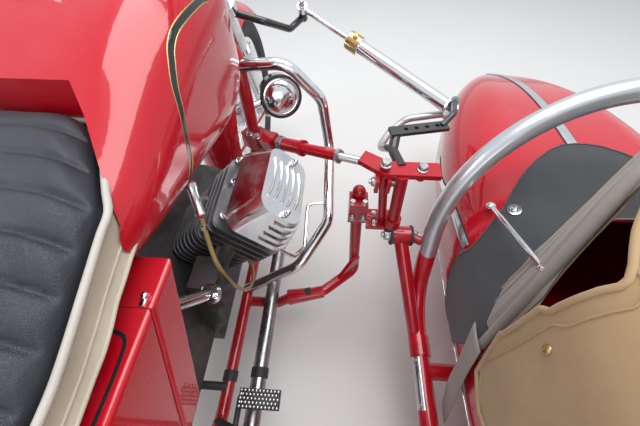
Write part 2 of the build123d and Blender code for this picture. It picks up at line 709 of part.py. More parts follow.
with BuildPart() as nose_hoop:
    with BuildLine() as route:
        FilletPolyline((chassis_x_left, rail_end_y, chassis_z), (chassis_x_left, hoop_foot_y, chassis_z),
                       (chassis_x_left, hoop_leg_y, hoop_leg_z), radius=150)
        ThreePointArc((chassis_x_left, hoop_leg_y, hoop_leg_z), hoop_point(45), hoop_point(90))
    with BuildSketch(Plane(origin=route.line @ 0, z_dir=(0, 1, 0))) as section:
        Circle(chassis_tube / 2)
    sweep(section.sketch, path=route.line)
    add_bar((chassis_x_left, rail_end_y, chassis_z), (chassis_x_left, rail_end_y + 20, chassis_z), sleeve_diameter)
    mirror(about=Plane.YZ.offset(sidecar_x))
keep("nose_hoop", nose_hoop)

# Torpedo body, open at the cockpit
with BuildPart() as sidecar_body:
    add_hull(0)
    add_hull(-wall, 1, 7, mode=Mode.SUBTRACT)
    with BuildSketch(Plane.XY.offset(coaming_z)):
        with Locations((sidecar_x, 330)):
            RectangleRounded(440, 900, 200)
    extrude(amount=200, mode=Mode.SUBTRACT)
keep("sidecar_body", sidecar_body)
with BuildPart() as apron:
    add_hull(apron_cloth)
    add_hull(0.4, mode=Mode.SUBTRACT)
    with BuildSketch(Plane.XY.offset(250)):
        with BuildLine():
            Line((600, 540), (600, 690))
            ThreePointArc((600, 690), (745, 845), (sidecar_x, apron_edge_y))
            ThreePointArc((sidecar_x, apron_edge_y), (2 * sidecar_x - 745, 845), (2 * sidecar_x - 600, 690))
            Line((2 * sidecar_x - 600, 690), (2 * sidecar_x - 600, 540))
            Line((2 * sidecar_x - 600, 540), (600, 540))
        make_face()
    extrude(amount=450, mode=Mode.INTERSECT)
    with BuildSketch(Plane.YZ.offset(500)):
        with BuildLine():
            Polyline((545, 700), (545, 500), (562, 480), (618, 303), (690, 371), (729, 426), (757, 508), (1100, 512),
                     (1100, 700), close=True)
        make_face()
    extrude(amount=900, mode=Mode.INTERSECT)
    with BuildSketch(Plane.XY.offset(300)):
        with Locations((sidecar_x, 330)):
            RectangleRounded(400, 840, 190)
    extrude(amount=400, mode=Mode.SUBTRACT)
keep("apron", apron)

# Windscreen: a pane bowed in plan and arched in height, with its binding
plan_sagitta = glass_front_y - glass_side_y
plan_radius = (body_half_width ** 2 + plan_sagitta ** 2) / (2 * plan_sagitta)


def add_bowed_wall(thickness, low, trim, crown):
    """A wall on the windscreen's plan arc, cut to its outline seen from the front."""
    with BuildSketch(Plane.XY.offset(low)) as plan:
        with Locations((sidecar_x, glass_front_y - plan_radius)):
            Circle(plan_radius + thickness / 2)
            Circle(plan_radius - thickness / 2, mode=Mode.SUBTRACT)
        with Locations((sidecar_x, glass_side_y - 500)):
            Rectangle(2000, 1000, mode=Mode.SUBTRACT)
    extrude(plan.sketch, amount=600)
    edge = [(body_half_width - trim, low), (body_half_width - 16 - trim, crown - 207),
            (body_half_width - 55 - trim, crown - 56), (body_half_width - 95 - trim, crown - 22),
            (body_half_width - 160 - trim, crown - 5)]
    with BuildSketch(Plane.XZ.offset(-1200)) as outline:
        with BuildLine():
            Polyline(*[(sidecar_x - reach, z) for reach, z in edge], (sidecar_x, crown),
                     *[(sidecar_x + reach, z) for reach, z in reversed(edge)], close=True)
        make_face()
    extrude(outline.sketch, amount=1200, mode=Mode.INTERSECT)


binding = 30.0
with BuildPart() as windscreen_frame:
    add_bowed_wall(14, 480, 0, glass_top_z)
    with BuildPart(mode=Mode.PRIVATE) as inner_field:
        add_bowed_wall(40, 480, binding, glass_top_z - binding)
    add(inner_field.part, mode=Mode.SUBTRACT)
    add_bar((700, 817, 566), (674, 618, 672), 8)
    add_bar((2 * sidecar_x - 700, 817, 566), (2 * sidecar_x - 674, 618, 672), 8)
    add_hull(apron_cloth + 0.4, mode=Mode.SUBTRACT)
keep("windscreen_frame", windscreen_frame)
with BuildPart() as windscreen_pane:
    add_bowed_wall(4, 480, binding, glass_top_z - binding)
    add_hull(apron_cloth + 0.4, mode=Mode.SUBTRACT)
keep("windscreen_pane", windscreen_pane)

# Hood over the cockpit: a shell whose front edge follows the windscreen's bow
HOOD = (
    # y, half width, top, corner radius
    (-380, 150, 640, 50),
    (-250, 200, 760, 100),
    (0, 262, 848, 130),
    (300, 290, 864, 148),
    (560, 297, 856, 150),
    (800, 297, 856, 150),
)
HOOD_HEM = ((900, 700), (572, 700), (556, 484), (487, 427), (449, 441), (300, 470), (0, 515), (-250, 530),
            (-500, 540))
hood_low_z = 200.0
hood_front_gap = 14.0


def add_hood_form(shrink, mode=Mode.ADD):
    """The hood's outer form, or its inside, which is open below and in front."""
    sketches = []
    for y, half, high, corner in HOOD:
        ahead = 0 if shrink == 0 else 40 if y == HOOD[-1][0] else shrink if y == HOOD[0][0] else 0
        middle = (hood_low_z + high - shrink) / 2
        with BuildSketch(Plane(origin=(sidecar_x, y + ahead, middle), x_dir=(1, 0, 0), z_dir=(0, -1, 0))) as station:
            RectangleRounded(2 * (half - shrink), high - shrink - hood_low_z, corner - shrink)
        sketches.append(station.sketch)
    loft(sketches, mode=mode)


with BuildPart() as hood:
    add_hood_form(0)
    add_hood_form(hood_wall, mode=Mode.SUBTRACT)
    with BuildSketch(Plane.XY.offset(300)):
        with Locations((sidecar_x, glass_front_y - plan_radius)):
            Circle(plan_radius - hood_front_gap)
        with Locations((sidecar_x, 556 - 600)):
            Rectangle(800, 1200)
    extrude(amount=700, mode=Mode.INTERSECT)
    with BuildSketch(Plane.YZ.offset(500)):
        with BuildLine():
            Polyline(*HOOD_HEM, (-500, 1000), (900, 1000), close=True)
        make_face()
    extrude(amount=900, mode=Mode.INTERSECT)
    add_hull(0.3, mode=Mode.SUBTRACT)
    add(apron.part, mode=Mode.SUBTRACT)
keep("hood", hood)

# Sidecar seat
with BuildPart() as sidecar_seat:
    with BuildSketch(Plane.YZ.offset(sidecar_x - 205)):
        with BuildLine():
            Polyline((-70, 250), (390, 250), (400, 385), (60, 400), (-20, 560), (-110, 560), close=True)
        make_face()
    extrude(amount=410)
    add_hull(-wall - 0.3, 1, 7, mode=Mode.INTERSECT)
keep("sidecar_seat", sidecar_seat)

# Sidecar wheel arm, axle and mudguard
with BuildPart() as wheel_arm:
    add_tube([(chassis_x_right, 520, chassis_z), (chassis_x_right, 460, 300),
              (chassis_x_right, sidecar_wheel_y + 20, sidecar_tyre_radius)], 36, 40)
    add_bar((chassis_x_right - 22, sidecar_wheel_y, sidecar_tyre_radius),
            (sidecar_wheel_x - hub_width / 2 - bearing_gap, sidecar_wheel_y, sidecar_tyre_radius), 44)
    add_bar((chassis_x_right, sidecar_wheel_y, sidecar_tyre_radius),
            (sidecar_wheel_x + 58, sidecar_wheel_y, sidecar_tyre_radius), axle_diameter - 0.6)
    add(sidecar_chassis.part, mode=Mode.SUBTRACT)
keep("wheel_arm", wheel_arm)
with BuildPart() as sidecar_mudguard:
    add_guard((sidecar_wheel_x, sidecar_wheel_y, sidecar_tyre_radius), 76, 316, 364, 72, 152)
    for reach in (-170, 170):
        add_bar((chassis_x_right, sidecar_wheel_y + reach, chassis_z), (chassis_x_right, sidecar_wheel_y + reach, 560), 18)
        add_bar((chassis_x_right, sidecar_wheel_y + reach, 556), (chassis_x_right + 26, sidecar_wheel_y + reach, 580), 18)
    add(sidecar_chassis.part, mode=Mode.SUBTRACT)
    add(wheel_arm.part, mode=Mode.SUBTRACT)
keep("sidecar_mudguard", sidecar_mudguard)

# Tower: a hub on a brace from the rail, a base plate, two posts and the bracket on top of them
with BuildPart() as tower:
    add_bar((hub_x - 24, hub_y, hub_z), (hub_x + 24, hub_y, hub_z), 46)
    add_bar((hub_x, hub_y - 4, hub_z - 4), (604, 645, chassis_z), 34)
    add_bar((hub_x + 20, hub_y, hub_z), (606, 806, hub_z + 2), 22)
    with Locations((498, 863, hub_z + 15)):
        Box(74, 54, 12)
    add_bar((525, 844, hub_z + 16), (515, 852, bracket_z), 27)
    add_bar((524, 845, hub_z + 21), (522.5, 846, hub_z + 47), 38)
    add_tube([(501, 860, hub_z + 16), (485, 858, 560), (477, 858, bracket_z)], 20, 60)
    for lug_x in (466, 490):
        with Locations((lug_x, 852, 586)):
            Box(8, 34, 34)
    with BuildSketch(Plane.XY.offset(bracket_z - 6)):
        with BuildLine():
            Polyline((426, 884), (442, 914), (490, 884), (592, 884), (592, 846), (478, 846), close=True)
        make_face()
    extrude(amount=12)
    for bolt_x in (482, 557):
        add_bar((bolt_x, bracket_y, bracket_z - 22), (bolt_x, bracket_y, bracket_z + 16), 18)
    add(sidecar_chassis.part, mode=Mode.SUBTRACT)
    add(nose_hoop.part, mode=Mode.SUBTRACT)
keep("tower", tower)

# Damper lever: a holed plate and a hook over the eye, and a curved bar below it
plate_turn = 13.1
with BuildPart() as damper_lever:
    add_tube([(515, 872, bracket_z), (503, 932, 603), (509, 962, 616)], 22, 24)
    with Locations(Location((560, 979, 625), (0, 0, plate_turn))):
        Box(132, 28, 8)
        for step in range(4):
            with Locations(Location((-30 + 24 * step, 0, 0))):
                Cylinder(5, 20, mode=Mode.SUBTRACT)
    hook = Vector(*lever_eye) + axis_up * 30
    add_tube([(612, 991, 627), (640, 1020, 640), tuple(hook)], 14, 24)
    axis_pin(lever_eye, tube_eye_half + eye_gap, 37, 11)
    heel = Vector(*lever_eye) - axis_up * 30
    add_tube([(503, 938, 602), (482, 985, 562), (513, 1047, 560), (560, 1103, 560), tuple(heel)], 18, 40)
    axis_pin(lever_eye, -39, -tube_eye_half - eye_gap, 11)
    add(tower.part, mode=Mode.SUBTRACT)
keep("damper_lever", damper_lever)

# Upper strut: clamp on the downtube, fork end, ringed sleeve, tube and thread up to the bracket
strut_start = Vector(160, 1066, 509)
strut_line = Vector(272, -171, 93).normalized()
STRUT = (
    # distance from the clamp, to, diameter
    (0, 96, 22),
    (96, 104, 34),
    (104, 166, 34),
    (166, 174, 40),
    (174, 274, 27),
    (274, 340, 16),
)
with BuildPart() as upper_strut:
    for start, end, diameter in STRUT:
        add_bar(tuple(strut_start + strut_line * start), tuple(strut_start + strut_line * end), diameter)
    with Locations(Location(tuple(strut_start), (0, 0, -32))):
        Box(56, 48, 46)
    with Locations(Location(tuple(strut_start + strut_line * 46), (0, -19, -32))):
        Box(60, 40, 30)
    add(frame_cradles.part, mode=Mode.SUBTRACT)
    add(tower.part, mode=Mode.SUBTRACT)
keep("upper_strut", upper_strut)

# Lower arm: under the exhaust, through a cone to the gusset, then up to the split clamp and its ball
with BuildPart() as lower_arm:
    add_tube([(rail_x, 738, rail_z - 18), (226, 738, rail_z - 18), (276, 745, 194), (364, 760, 212),
              (452, 836, 206), (448, 852, 262), (438, 872, 450)], 30, 22)
    with BuildSketch(Plane(origin=(262, 743, 188), z_dir=(102, 14, 21))):
        Circle(23)
    with BuildSketch(Plane(origin=(364, 757, 209), z_dir=(102, 14, 21))):
        Circle(16)
    loft(ruled=True)
    with BuildSketch(Plane(origin=(440, 826, 190), x_dir=(0.76, 0.65, 0), z_dir=(0.65, -0.76, 0))):
        with BuildLine():
            Polyline((-70, 8), (20, 0), (26, 90), (-2, 90), close=True)
        make_face()
    extrude(amount=5, both=True)
    with Locations((438, 870, 472)):
        Box(44, 46, 64)
        Box(50, 3, 50, mode=Mode.SUBTRACT)
    with Locations((438, 884, 516)):
        Sphere(16)
    add_bar((438, 868, 448), (484, 862, hub_z + 15), 22)
    add(frame_cradles.part, mode=Mode.SUBTRACT)
    add(tower.part, mode=Mode.SUBTRACT)
keep("lower_arm", lower_arm)
with BuildPart() as rear_links:
    add_bar((rail_x, 412, rail_z - 20), (chassis_x_left, 412, chassis_z - 22), 30)
    add_tube([(seat_rail_x + 6, 200, seat_rail_z - 6), (210, 190, 640), (chassis_x_left, 120, chassis_z)], 28, 60)
    add(frame_cradles.part, mode=Mode.SUBTRACT)
    add(frame_spine.part, mode=Mode.SUBTRACT)
    add(toolboxes.part, mode=Mode.SUBTRACT)
    add(sidecar_chassis.part, mode=Mode.SUBTRACT)
keep("rear_links", rear_links)

# Steering damper: a tube that swings on the lever and a rod whose eye lies over the fork's pin
along = (Vector(*damper_eye) - Vector(*lever_eye)).normalized()
damper_length = (Vector(*damper_eye) - Vector(*lever_eye)).length
end = Vector(*lever_eye)
tube_length = 316.0
collar_length = 36.0
with BuildPart() as damper_body:
    add_bar(tuple(end + along * 14), tuple(end + along * tube_length), damper_tube)
    add_bar(tuple(end + along * (tube_length - collar_length)), tuple(end + along * tube_length), damper_tube + 10)
    axis_pin(lever_eye, -tube_eye_half, tube_eye_half, 17)
    add_bar(tuple(end + along * 40), tuple(end + along * (tube_length + 5)), damper_rod_diameter + 1, mode=Mode.SUBTRACT)
keep("damper_body", damper_body)
with BuildPart() as damper_rod:
    add_bar(tuple(end + along * 170), tuple(end + along * (damper_length - 8)), damper_rod_diameter)
    axis_pin(damper_eye, -rod_eye_half, rod_eye_half, 14)
keep("damper_rod", damper_rod)

for name, piece in pieces.items():
    written = piece.part.moved(Location((-origin_x, -origin_y, 0)))
    written.label = name
    export_step(written, f"parts/{name}.step")
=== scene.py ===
# %% [markdown]
# Sidecar motorcycle: the finishes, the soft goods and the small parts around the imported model.
# Everything is in metres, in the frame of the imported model: +X to the sidecar, +Y forward, z = 0 the ground.

# %% Load the frame
import bpy, bmesh, json, math
from mathutils import Matrix, Vector, noise
from mathutils.bvhtree import BVHTree

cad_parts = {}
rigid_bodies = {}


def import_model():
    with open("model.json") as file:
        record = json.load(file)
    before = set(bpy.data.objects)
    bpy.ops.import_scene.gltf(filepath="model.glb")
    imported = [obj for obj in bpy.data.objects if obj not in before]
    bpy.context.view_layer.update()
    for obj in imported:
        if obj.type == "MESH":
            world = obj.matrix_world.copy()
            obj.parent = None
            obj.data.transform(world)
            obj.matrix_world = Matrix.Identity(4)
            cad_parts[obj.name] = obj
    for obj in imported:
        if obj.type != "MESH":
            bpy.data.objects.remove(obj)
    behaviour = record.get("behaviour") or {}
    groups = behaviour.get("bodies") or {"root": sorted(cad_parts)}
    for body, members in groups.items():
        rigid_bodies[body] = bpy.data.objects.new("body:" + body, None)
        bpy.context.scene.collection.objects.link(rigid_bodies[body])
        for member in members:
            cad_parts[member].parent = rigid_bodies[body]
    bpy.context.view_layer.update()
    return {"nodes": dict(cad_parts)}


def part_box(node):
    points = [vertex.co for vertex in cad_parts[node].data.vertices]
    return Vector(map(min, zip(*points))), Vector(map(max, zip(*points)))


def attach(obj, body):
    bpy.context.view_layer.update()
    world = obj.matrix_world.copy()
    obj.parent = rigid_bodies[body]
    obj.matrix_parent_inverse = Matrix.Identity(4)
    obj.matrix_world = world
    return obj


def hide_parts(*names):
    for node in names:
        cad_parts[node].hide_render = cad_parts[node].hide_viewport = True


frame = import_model()
nodes = frame["nodes"]

# %% [markdown]
# The model's source counts from the motorcycle's centre plane and its rear axle, in millimetres. One
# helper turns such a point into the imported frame, so both files can use the same numbers.

# %% Points in the source's millimetres
ORIGIN = Vector((0.52524, 0.6175, 0.0))


def at(x, y, z):
    """A point of the source, in millimetres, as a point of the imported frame."""
    return Vector((x, y, z)) / 1000 - ORIGIN


# %% [markdown]
# The camera stands where the rider's head would be and looks down into the gap between the seat and the
# sidecar. Its place and its 17 mm lens were solved from the photograph.

# %% Camera


def placed(name, data):
    """An object in the scene that carries some data."""
    thing = bpy.data.objects.new(name, data)
    bpy.context.scene.collection.objects.link(thing)
    return thing


EYE = at(376, 420, 1056)
PITCH, YAW, ROLL = math.radians(53.7), math.radians(-3.7), math.radians(-0.3)
ahead = Vector((math.sin(YAW) * math.cos(PITCH), math.cos(YAW) * math.cos(PITCH), -math.sin(PITCH)))
across = Vector((math.cos(YAW), -math.sin(YAW), 0))
upward = across.cross(ahead)
across, upward = (across * math.cos(ROLL) + upward * math.sin(ROLL),
                  upward * math.cos(ROLL) - across * math.sin(ROLL))
camera_data = bpy.data.cameras.new("camera")
camera_data.sensor_width = 36
camera_data.lens = 17.04
camera_data.clip_start = 0.02
camera = placed("camera", camera_data)
camera.matrix_world = Matrix.Translation(EYE) @ Matrix((across, upward, -ahead)).transposed().to_4x4()
bpy.context.scene.camera = camera
bpy.context.scene.view_settings.view_transform = "Standard"
print("camera at:", [round(value, 3) for value in EYE])

# %% [markdown]
# Paint, chrome and canvas are told apart by what they do over a surface, so most finishes are sums of
# noises. A small class lets such sums be written as Python expressions.

# %% Shader expressions


class Wire:
    """One output of a material's node, which can be added, multiplied and compared."""

    def __init__(self, finish, socket):
        self.finish, self.socket = finish, socket

    def _math(self, operation, first, second=0.0):
        return self.finish.add("ShaderNodeMath", {"operation": operation}, {0: first, 1: second})

    def __add__(self, other): return self._math("ADD", self, other)
    def __radd__(self, other): return self._math("ADD", other, self)
    def __sub__(self, other): return self._math("SUBTRACT", self, other)
    def __rsub__(self, other): return self._math("SUBTRACT", other, self)
    def __mul__(self, other): return self._math("MULTIPLY", self, other)
    def __rmul__(self, other): return self._math("MULTIPLY", other, self)
    def __gt__(self, other): return self._math("GREATER_THAN", self, other)
    def __abs__(self): return self._math("ABSOLUTE", self)
    def sin(self): return self._math("SINE", self)

    def ramp(self, low, high):
        """0 below low, 1 above high, smooth between."""
        return self.finish.add("ShaderNodeMapRange", {"interpolation_type": "SMOOTHSTEP"},
                               {"Value": self, "From Min": low, "From Max": high})


class Finish:
    """A material under way: its node tree, its shader and the place on the object."""

    def __init__(self, name, colour, roughness, metallic=0.0, coat=0.0, **fixed):
        self.material = bpy.data.materials.new(name)
        self.material.use_nodes = True
        self.tree = self.material.node_tree
        self.shader = self.tree.nodes["Principled BSDF"]
        for socket, value in {"Base Color": (*colour, 1), "Roughness": roughness, "Metallic": metallic,
                              "Coat Weight": coat, **fixed}.items():
            self.shader.inputs[socket].default_value = value
        self.place = self.add("ShaderNodeTexCoord", out="Object")
        print("finish:", name)

    def add(self, kind, settings=None, sockets=None, out=0):
        """A node with its settings made first, then its sockets filled with values or wires."""
        node = self.tree.nodes.new(kind)
        for name, value in (settings or {}).items():
            setattr(node, name, value)
        for name, value in (sockets or {}).items():
            if isinstance(value, Wire):
                self.tree.links.new(value.socket, node.inputs[name])
            else:
                node.inputs[name].default_value = value
        return Wire(self, node.outputs[out])

    def axis(self, name):
        """The x, y or z of the place on the object, in metres."""
        return self.add("ShaderNodeSeparateXYZ", {}, {0: self.place}, out=name.upper())

    def noise(self, scale, detail=3.0, rough=0.55):
        return self.add("ShaderNodeTexNoise", {}, {"Vector": self.place, "Scale": scale, "Detail": detail,
                                                   "Roughness": rough})

    def cells(self, scale, feature):
        return self.add("ShaderNodeTexVoronoi", {"feature": feature}, {"Vector": self.place, "Scale": scale})

    def mix(self, share, first, second):
        """A colour between two colours or wires."""
        first, second = (c if isinstance(c, Wire) else (*c, 1) for c in (first, second))
        return self.add("ShaderNodeMix", {"data_type": "RGBA"}, {0: share, 6: first, 7: second}, out=2)

    def set(self, socket, value):
        """A wire led to one of the shader's inputs."""
        self.tree.links.new(value.socket, self.shader.inputs[socket])
        return self

    def bump(self, height, distance, strength=1.0):
        """The height in 0 to 1, raised by a distance in metres."""
        return self.set("Normal", self.add("ShaderNodeBump", {}, {"Height": height, "Distance": distance,
                                                                  "Strength": strength}))


# %% [markdown]
# The red paint is the outfit's face: a deep gloss coat whose reflections swim a little, with dust and faint
# swirls. The frame and the struts carry the same red, brushed on thicker and chipped at the edges.

# %% Paints


def paint(name, colour, wear=0.0, peel=0.00012):
    """Gloss enamel: clear coat over the colour, orange peel, dust, and chips where it is handled."""
    f = Finish(name, colour, 0.32, coat=0.9, **{"Coat Roughness": 0.04, "Specular IOR Level": 0.2})
    dust = f.noise(5, 5).ramp(0.45, 0.8)
    dark = tuple(c * 0.82 for c in colour)
    base = f.mix(f.noise(2.2, 2), colour, dark)
    base = f.mix(dust * 0.05, base, (0.55, 0.5, 0.46))
    if wear:
        chips = (f.noise(70, 6, 0.7) > 0.66) * f.noise(9, 2).ramp(0.5, 0.62) * wear
        base = f.mix(chips, base, (0.5, 0.48, 0.46))
        f.set("Coat Weight", 0.9 - chips * 0.9)
        f.set("Roughness", 0.32 + chips * 0.25)
    else:
        f.set("Roughness", 0.26 + dust * 0.12)
    f.set("Base Color", base)
    f.bump(f.noise(260, 2), peel, 0.5)
    return f.material


RED = (0.56, 0.003, 0.016)
red_gloss = paint("red_gloss", RED)
red_frame = paint("red_frame", (0.46, 0.004, 0.014), wear=0.8, peel=0.0003)
black_paint = paint("black_enamel", (0.018, 0.018, 0.02), wear=0.3)

# %% [markdown]
# Two parts carry two finishes each: the hoop is red up to the body's nose and silver above it, and the damper's
# lever is black with a grey plate and a bright curved bar. Each is told apart by its place.

# %% Parts with two finishes
hoop = Finish("hoop_paint", RED, 0.3, coat=0.5)
hoop_high = hoop.axis("z").ramp(0.413, 0.416)
hoop_worn = hoop.noise(38, 6, 0.7).ramp(0.55, 0.7)
hoop.set("Base Color", hoop.mix(hoop_high, RED, (0.6, 0.63, 0.66)))
hoop.set("Metallic", hoop_high * 0.75).set("Roughness", 0.28 + hoop_worn * 0.2)
hoop.bump(hoop.noise(420, 2), 0.0001, 0.4)
hoop_paint = hoop.material
lever = Finish("lever_paint", (0.02, 0.02, 0.022), 0.35, coat=0.4)
low_bar = lever.axis("z").ramp(0.592, 0.588)
lever.set("Base Color", lever.mix(low_bar, (0.025, 0.026, 0.03), (0.6, 0.6, 0.6)))
lever.set("Metallic", low_bar).set("Roughness", 0.34 + lever.noise(30, 5).ramp(0.4, 0.7) * 0.2)
lever_paint = lever.material

# %% [markdown]
# Bright metal comes in three kinds here. Chrome is a mirror with smears, polished aluminium is softer and
# shows its buffing, and cast aluminium is grey, grainy and oily in its hollows.

# %% Metals


def metal(name, colour, low, high, scale, bump=0.0, grime=0.0, grime_colour=(0.05, 0.045, 0.04)):
    """Bare metal whose roughness wanders between two values, with grime in patches."""
    f = Finish(name, colour, low, metallic=1.0)
    smear = f.noise(scale, 5, 0.65)
    f.set("Roughness", low + smear.ramp(0.35, 0.75) * (high - low))
    if grime:
        dirt = f.noise(scale * 0.6, 6, 0.7).ramp(0.46, 0.7) * grime
        f.set("Base Color", f.mix(dirt, colour, grime_colour)).set("Metallic", 1.0 - dirt * 0.7)
    if bump:
        f.bump(f.noise(900, 3, 0.6), bump, 0.6)
    return f.material


chrome = metal("chrome", (0.80, 0.81, 0.83), 0.05, 0.16, 16, grime=0.08)
polished = metal("polished_alloy", (0.70, 0.70, 0.72), 0.12, 0.3, 22, 0.00002, 0.22)
OIL = (0.025, 0.022, 0.02)
FIN_DIRT = (0.03, 0.028, 0.025)
cast = metal("cast_alloy", (0.12, 0.12, 0.122), 0.42, 0.62, 14, 0.0002, 0.8, OIL)
fin_alloy = metal("fin_alloy", (0.3, 0.3, 0.31), 0.36, 0.55, 14, 0.0002, 0.6, FIN_DIRT)
dull_steel = metal("dull_steel", (0.36, 0.36, 0.37), 0.22, 0.45, 18, 0.00004, 0.35)
steel = metal("plated_steel", (0.52, 0.52, 0.53), 0.25, 0.42, 30, 0.00003, 0.25)
brass = metal("brass", (0.62, 0.46, 0.2), 0.22, 0.4, 24, 0.00002, 0.3)

# %% [markdown]
# Rubber is matt and holds pale dust. The hose is vinyl that has gone amber, which is the same recipe with
# less grain.

# %% Rubber and plastics


def rubber_finish(name, colour, rough, grain=0.0002):
    """A matt skin with dust in patches and a fine grain."""
    f = Finish(name, colour, rough)
    dust = f.noise(20, 5).ramp(0.45, 0.75)
    f.set("Base Color", f.mix(dust * 0.25, colour, (0.16, 0.15, 0.14)))
    f.set("Roughness", rough + dust * 0.12).bump(f.noise(500, 3), grain, 0.6)
    return f.material


tyre_rubber = rubber_finish("tyre_rubber", (0.028, 0.028, 0.03), 0.72)
black_rubber = rubber_finish("black_rubber", (0.022, 0.022, 0.024), 0.6)
hose_finish = rubber_finish("amber_hose", (0.34, 0.24, 0.09), 0.35, 0.00005)

# %% [markdown]
# Vinyl has a fine leather grain from irregular cells, cloth a weave from two crossed waves. The scale is the
# real one: a thread every 0.9 mm in the canvas.

# %% Vinyl and cloth


def vinyl(name, colour, soiled, rough=0.42):
    """Leather-grained vinyl, soiled in soft patches."""
    f = Finish(name, colour, rough, **{"Specular IOR Level": 0.45})
    grain = f.cells(620, "DISTANCE_TO_EDGE").ramp(0.0, 0.25)
    dust = f.noise(7, 5).ramp(0.42, 0.72)
    f.set("Base Color", f.mix(dust * 0.4, colour, soiled)).set("Roughness", rough + dust * 0.14)
    f.bump(grain, 0.00025, 0.7)
    return f.material


THREAD = 0.0009


def canvas(name, colour, soiled):
    """Plain-weave cloth: crossed threads, slubs, and soiling in soft patches."""
    f = Finish(name, colour, 0.86, **{"Sheen Weight": 0.25})
    turn = 2 * math.pi / THREAD
    x, y, z = f.axis("x"), f.axis("y"), f.axis("z")
    warp = ((x * 0.8 + z * 0.6) * turn).sin()
    weft = (y * turn).sin()
    weave = (warp * weft) * 0.5 + 0.5
    dirt = f.noise(4, 6, 0.6).ramp(0.4, 0.75)
    slub = f.noise(90, 3)
    tint = f.mix(slub * 0.35, colour, tuple(c * 0.7 for c in colour))
    f.set("Base Color", f.mix(dirt * 0.5, tint, soiled))
    f.bump(weave * 0.6 + slub * 0.4, 0.0004, 0.8)
    return f.material


seat_black = vinyl("seat_vinyl", (0.022, 0.026, 0.034), (0.06, 0.064, 0.075))
seat_cream = vinyl("cream_vinyl", (0.62, 0.55, 0.44), (0.42, 0.35, 0.26), 0.5)
piping_pale = vinyl("piping_vinyl", (0.55, 0.52, 0.47), (0.35, 0.32, 0.28), 0.45)
hood_tan = canvas("hood_canvas", (0.52, 0.36, 0.19), (0.34, 0.22, 0.11))
apron_black = canvas("apron_canvas", (0.045, 0.048, 0.055), (0.085, 0.088, 0.096))
binding_cloth = canvas("binding_cloth", (0.36, 0.325, 0.285), (0.22, 0.195, 0.175))

# %% [markdown]
# The pane is clear, so it is a smooth surface with a low alpha: it keeps its reflections and needs no
# refraction. The tail lamp's lens has moulded ribs, and the plate is white and blank.

# %% Glass, lenses and the plate
pane = Finish("clear_pane", (0.82, 0.85, 0.85), 0.06)
pane.set("Roughness", 0.05 + pane.noise(30, 4).ramp(0.4, 0.8) * 0.1)
pane.shader.inputs["Alpha"].default_value = 0.22
clear_pane = pane.material
lens = Finish("red_lens", (0.5, 0.01, 0.012), 0.12, coat=0.6)
lens.bump(abs((lens.axis("x") * 700).sin()), 0.0006, 0.8)
red_lens = lens.material
plate = Finish("blank_plate", (0.82, 0.82, 0.80), 0.4)
plate.set("Roughness", 0.35 + plate.noise(40, 4).ramp(0.4, 0.7) * 0.2)
plate_white = plate.material

# %% [markdown]
# Each CAD node keeps its shape and gets one of these finishes. The names are grouped by finish, because most
# parts of such a machine come out of the same few baths of paint and plating.

# %% Finishes for the CAD nodes
FINISHES = [
    (red_gloss, "fuel_tank toolboxes toolbox_lid_right toolbox_lid_left rear_mudguard sidecar_mudguard "
                "front_mudguard sidecar_body"),
    (red_frame, "frame_spine frame_cradles sidecar_chassis chassis_beams tower upper_strut lower_arm "
                "rear_links"),
    (hoop_paint, "nose_hoop"),
    (black_paint, "swing_arm wheel_arm damper_bracket instruments"),
    (lever_paint, "damper_lever"),
    (chrome, "crash_bars headlamp handlebar filler_cap horn damper_body damper_rod rear_dampers front_wheel "
             "rear_wheel sidecar_wheel mirrors"),
    (polished, "rocker_covers fork fork_sliders"),
    (cast, "engine_block carburettors"),
    (fin_alloy, "cylinders"),
    (dull_steel, "exhausts"),
    (black_rubber, "foot_controls"),
    (tyre_rubber, "front_tyre rear_tyre sidecar_tyre"),
    (seat_black, "seat_pad sidecar_seat"),
    (seat_cream, "seat_skirt"),
    (hood_tan, "hood"),
    (apron_black, "apron"),
    (binding_cloth, "windscreen_frame"),
    (clear_pane, "windscreen_pane"),
    (red_lens, "tail_lamp"),
    (plate_white, "plate_bracket"),
]
for material, names in FINISHES:
    for name in names.split():
        nodes[name].data.materials.clear()
        nodes[name].data.materials.append(material)
print("finished nodes:", sum(len(names.split()) for _, names in FINISHES))

# %% [markdown]
# Every small piece is made of points and faces. One helper turns them into a piece that rides on a body and
# has its one finish, another joins rows of points into a sheet or a closed skin.


def shown(name, parts, material, body="outfit", smooth=50):
    """One piece from a list of (points, faces), with soft shading below an angle."""
    points, faces = [], []
    for some_points, some_faces in parts:
        base = len(points)
        points += [tuple(p) for p in some_points]
        faces += [[base + i for i in face] for face in some_faces]
    mesh = bpy.data.meshes.new(name)
    mesh.from_pydata(points, [], faces)
    mesh.validate()
    bm = bmesh.new()
    bm.from_mesh(mesh)
    bmesh.ops.recalc_face_normals(bm, faces=bm.faces)
    bm.to_mesh(mesh)
    bm.free()
    mesh.polygons.foreach_set("use_smooth", [True] * len(mesh.polygons))
    mesh.set_sharp_from_angle(angle=math.radians(smooth))
    mesh.materials.append(material)
    piece = placed(name, mesh)
    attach(piece, body)
    print(f"{name}: {len(faces)} faces")
    return piece


def grid(rows, closed=False, capped=False):
    """Points and faces of a sheet whose rows all have one length; closed joins each row's ends."""
    width = len(rows[0])
    points = [p for row in rows for p in row]
    faces = []
    for r in range(len(rows) - 1):
        for c in range(width if closed else width - 1):
            d = (c + 1) % width
            faces.append((r * width + c, r * width + d, (r + 1) * width + d, (r + 1) * width + c))
    if capped:
        faces.append(tuple(reversed(range(width))))
        faces.append(tuple((len(rows) - 1) * width + c for c in range(width)))
    return points, faces


# %% [markdown]
# Round things are turned about an axis or drawn along a line. Both are rows of rings, so any profile will do
# and nothing has to be cut. A band is the most common turned part: a clamp or a sleeve with sloped ends.

# %% Turned parts and rods


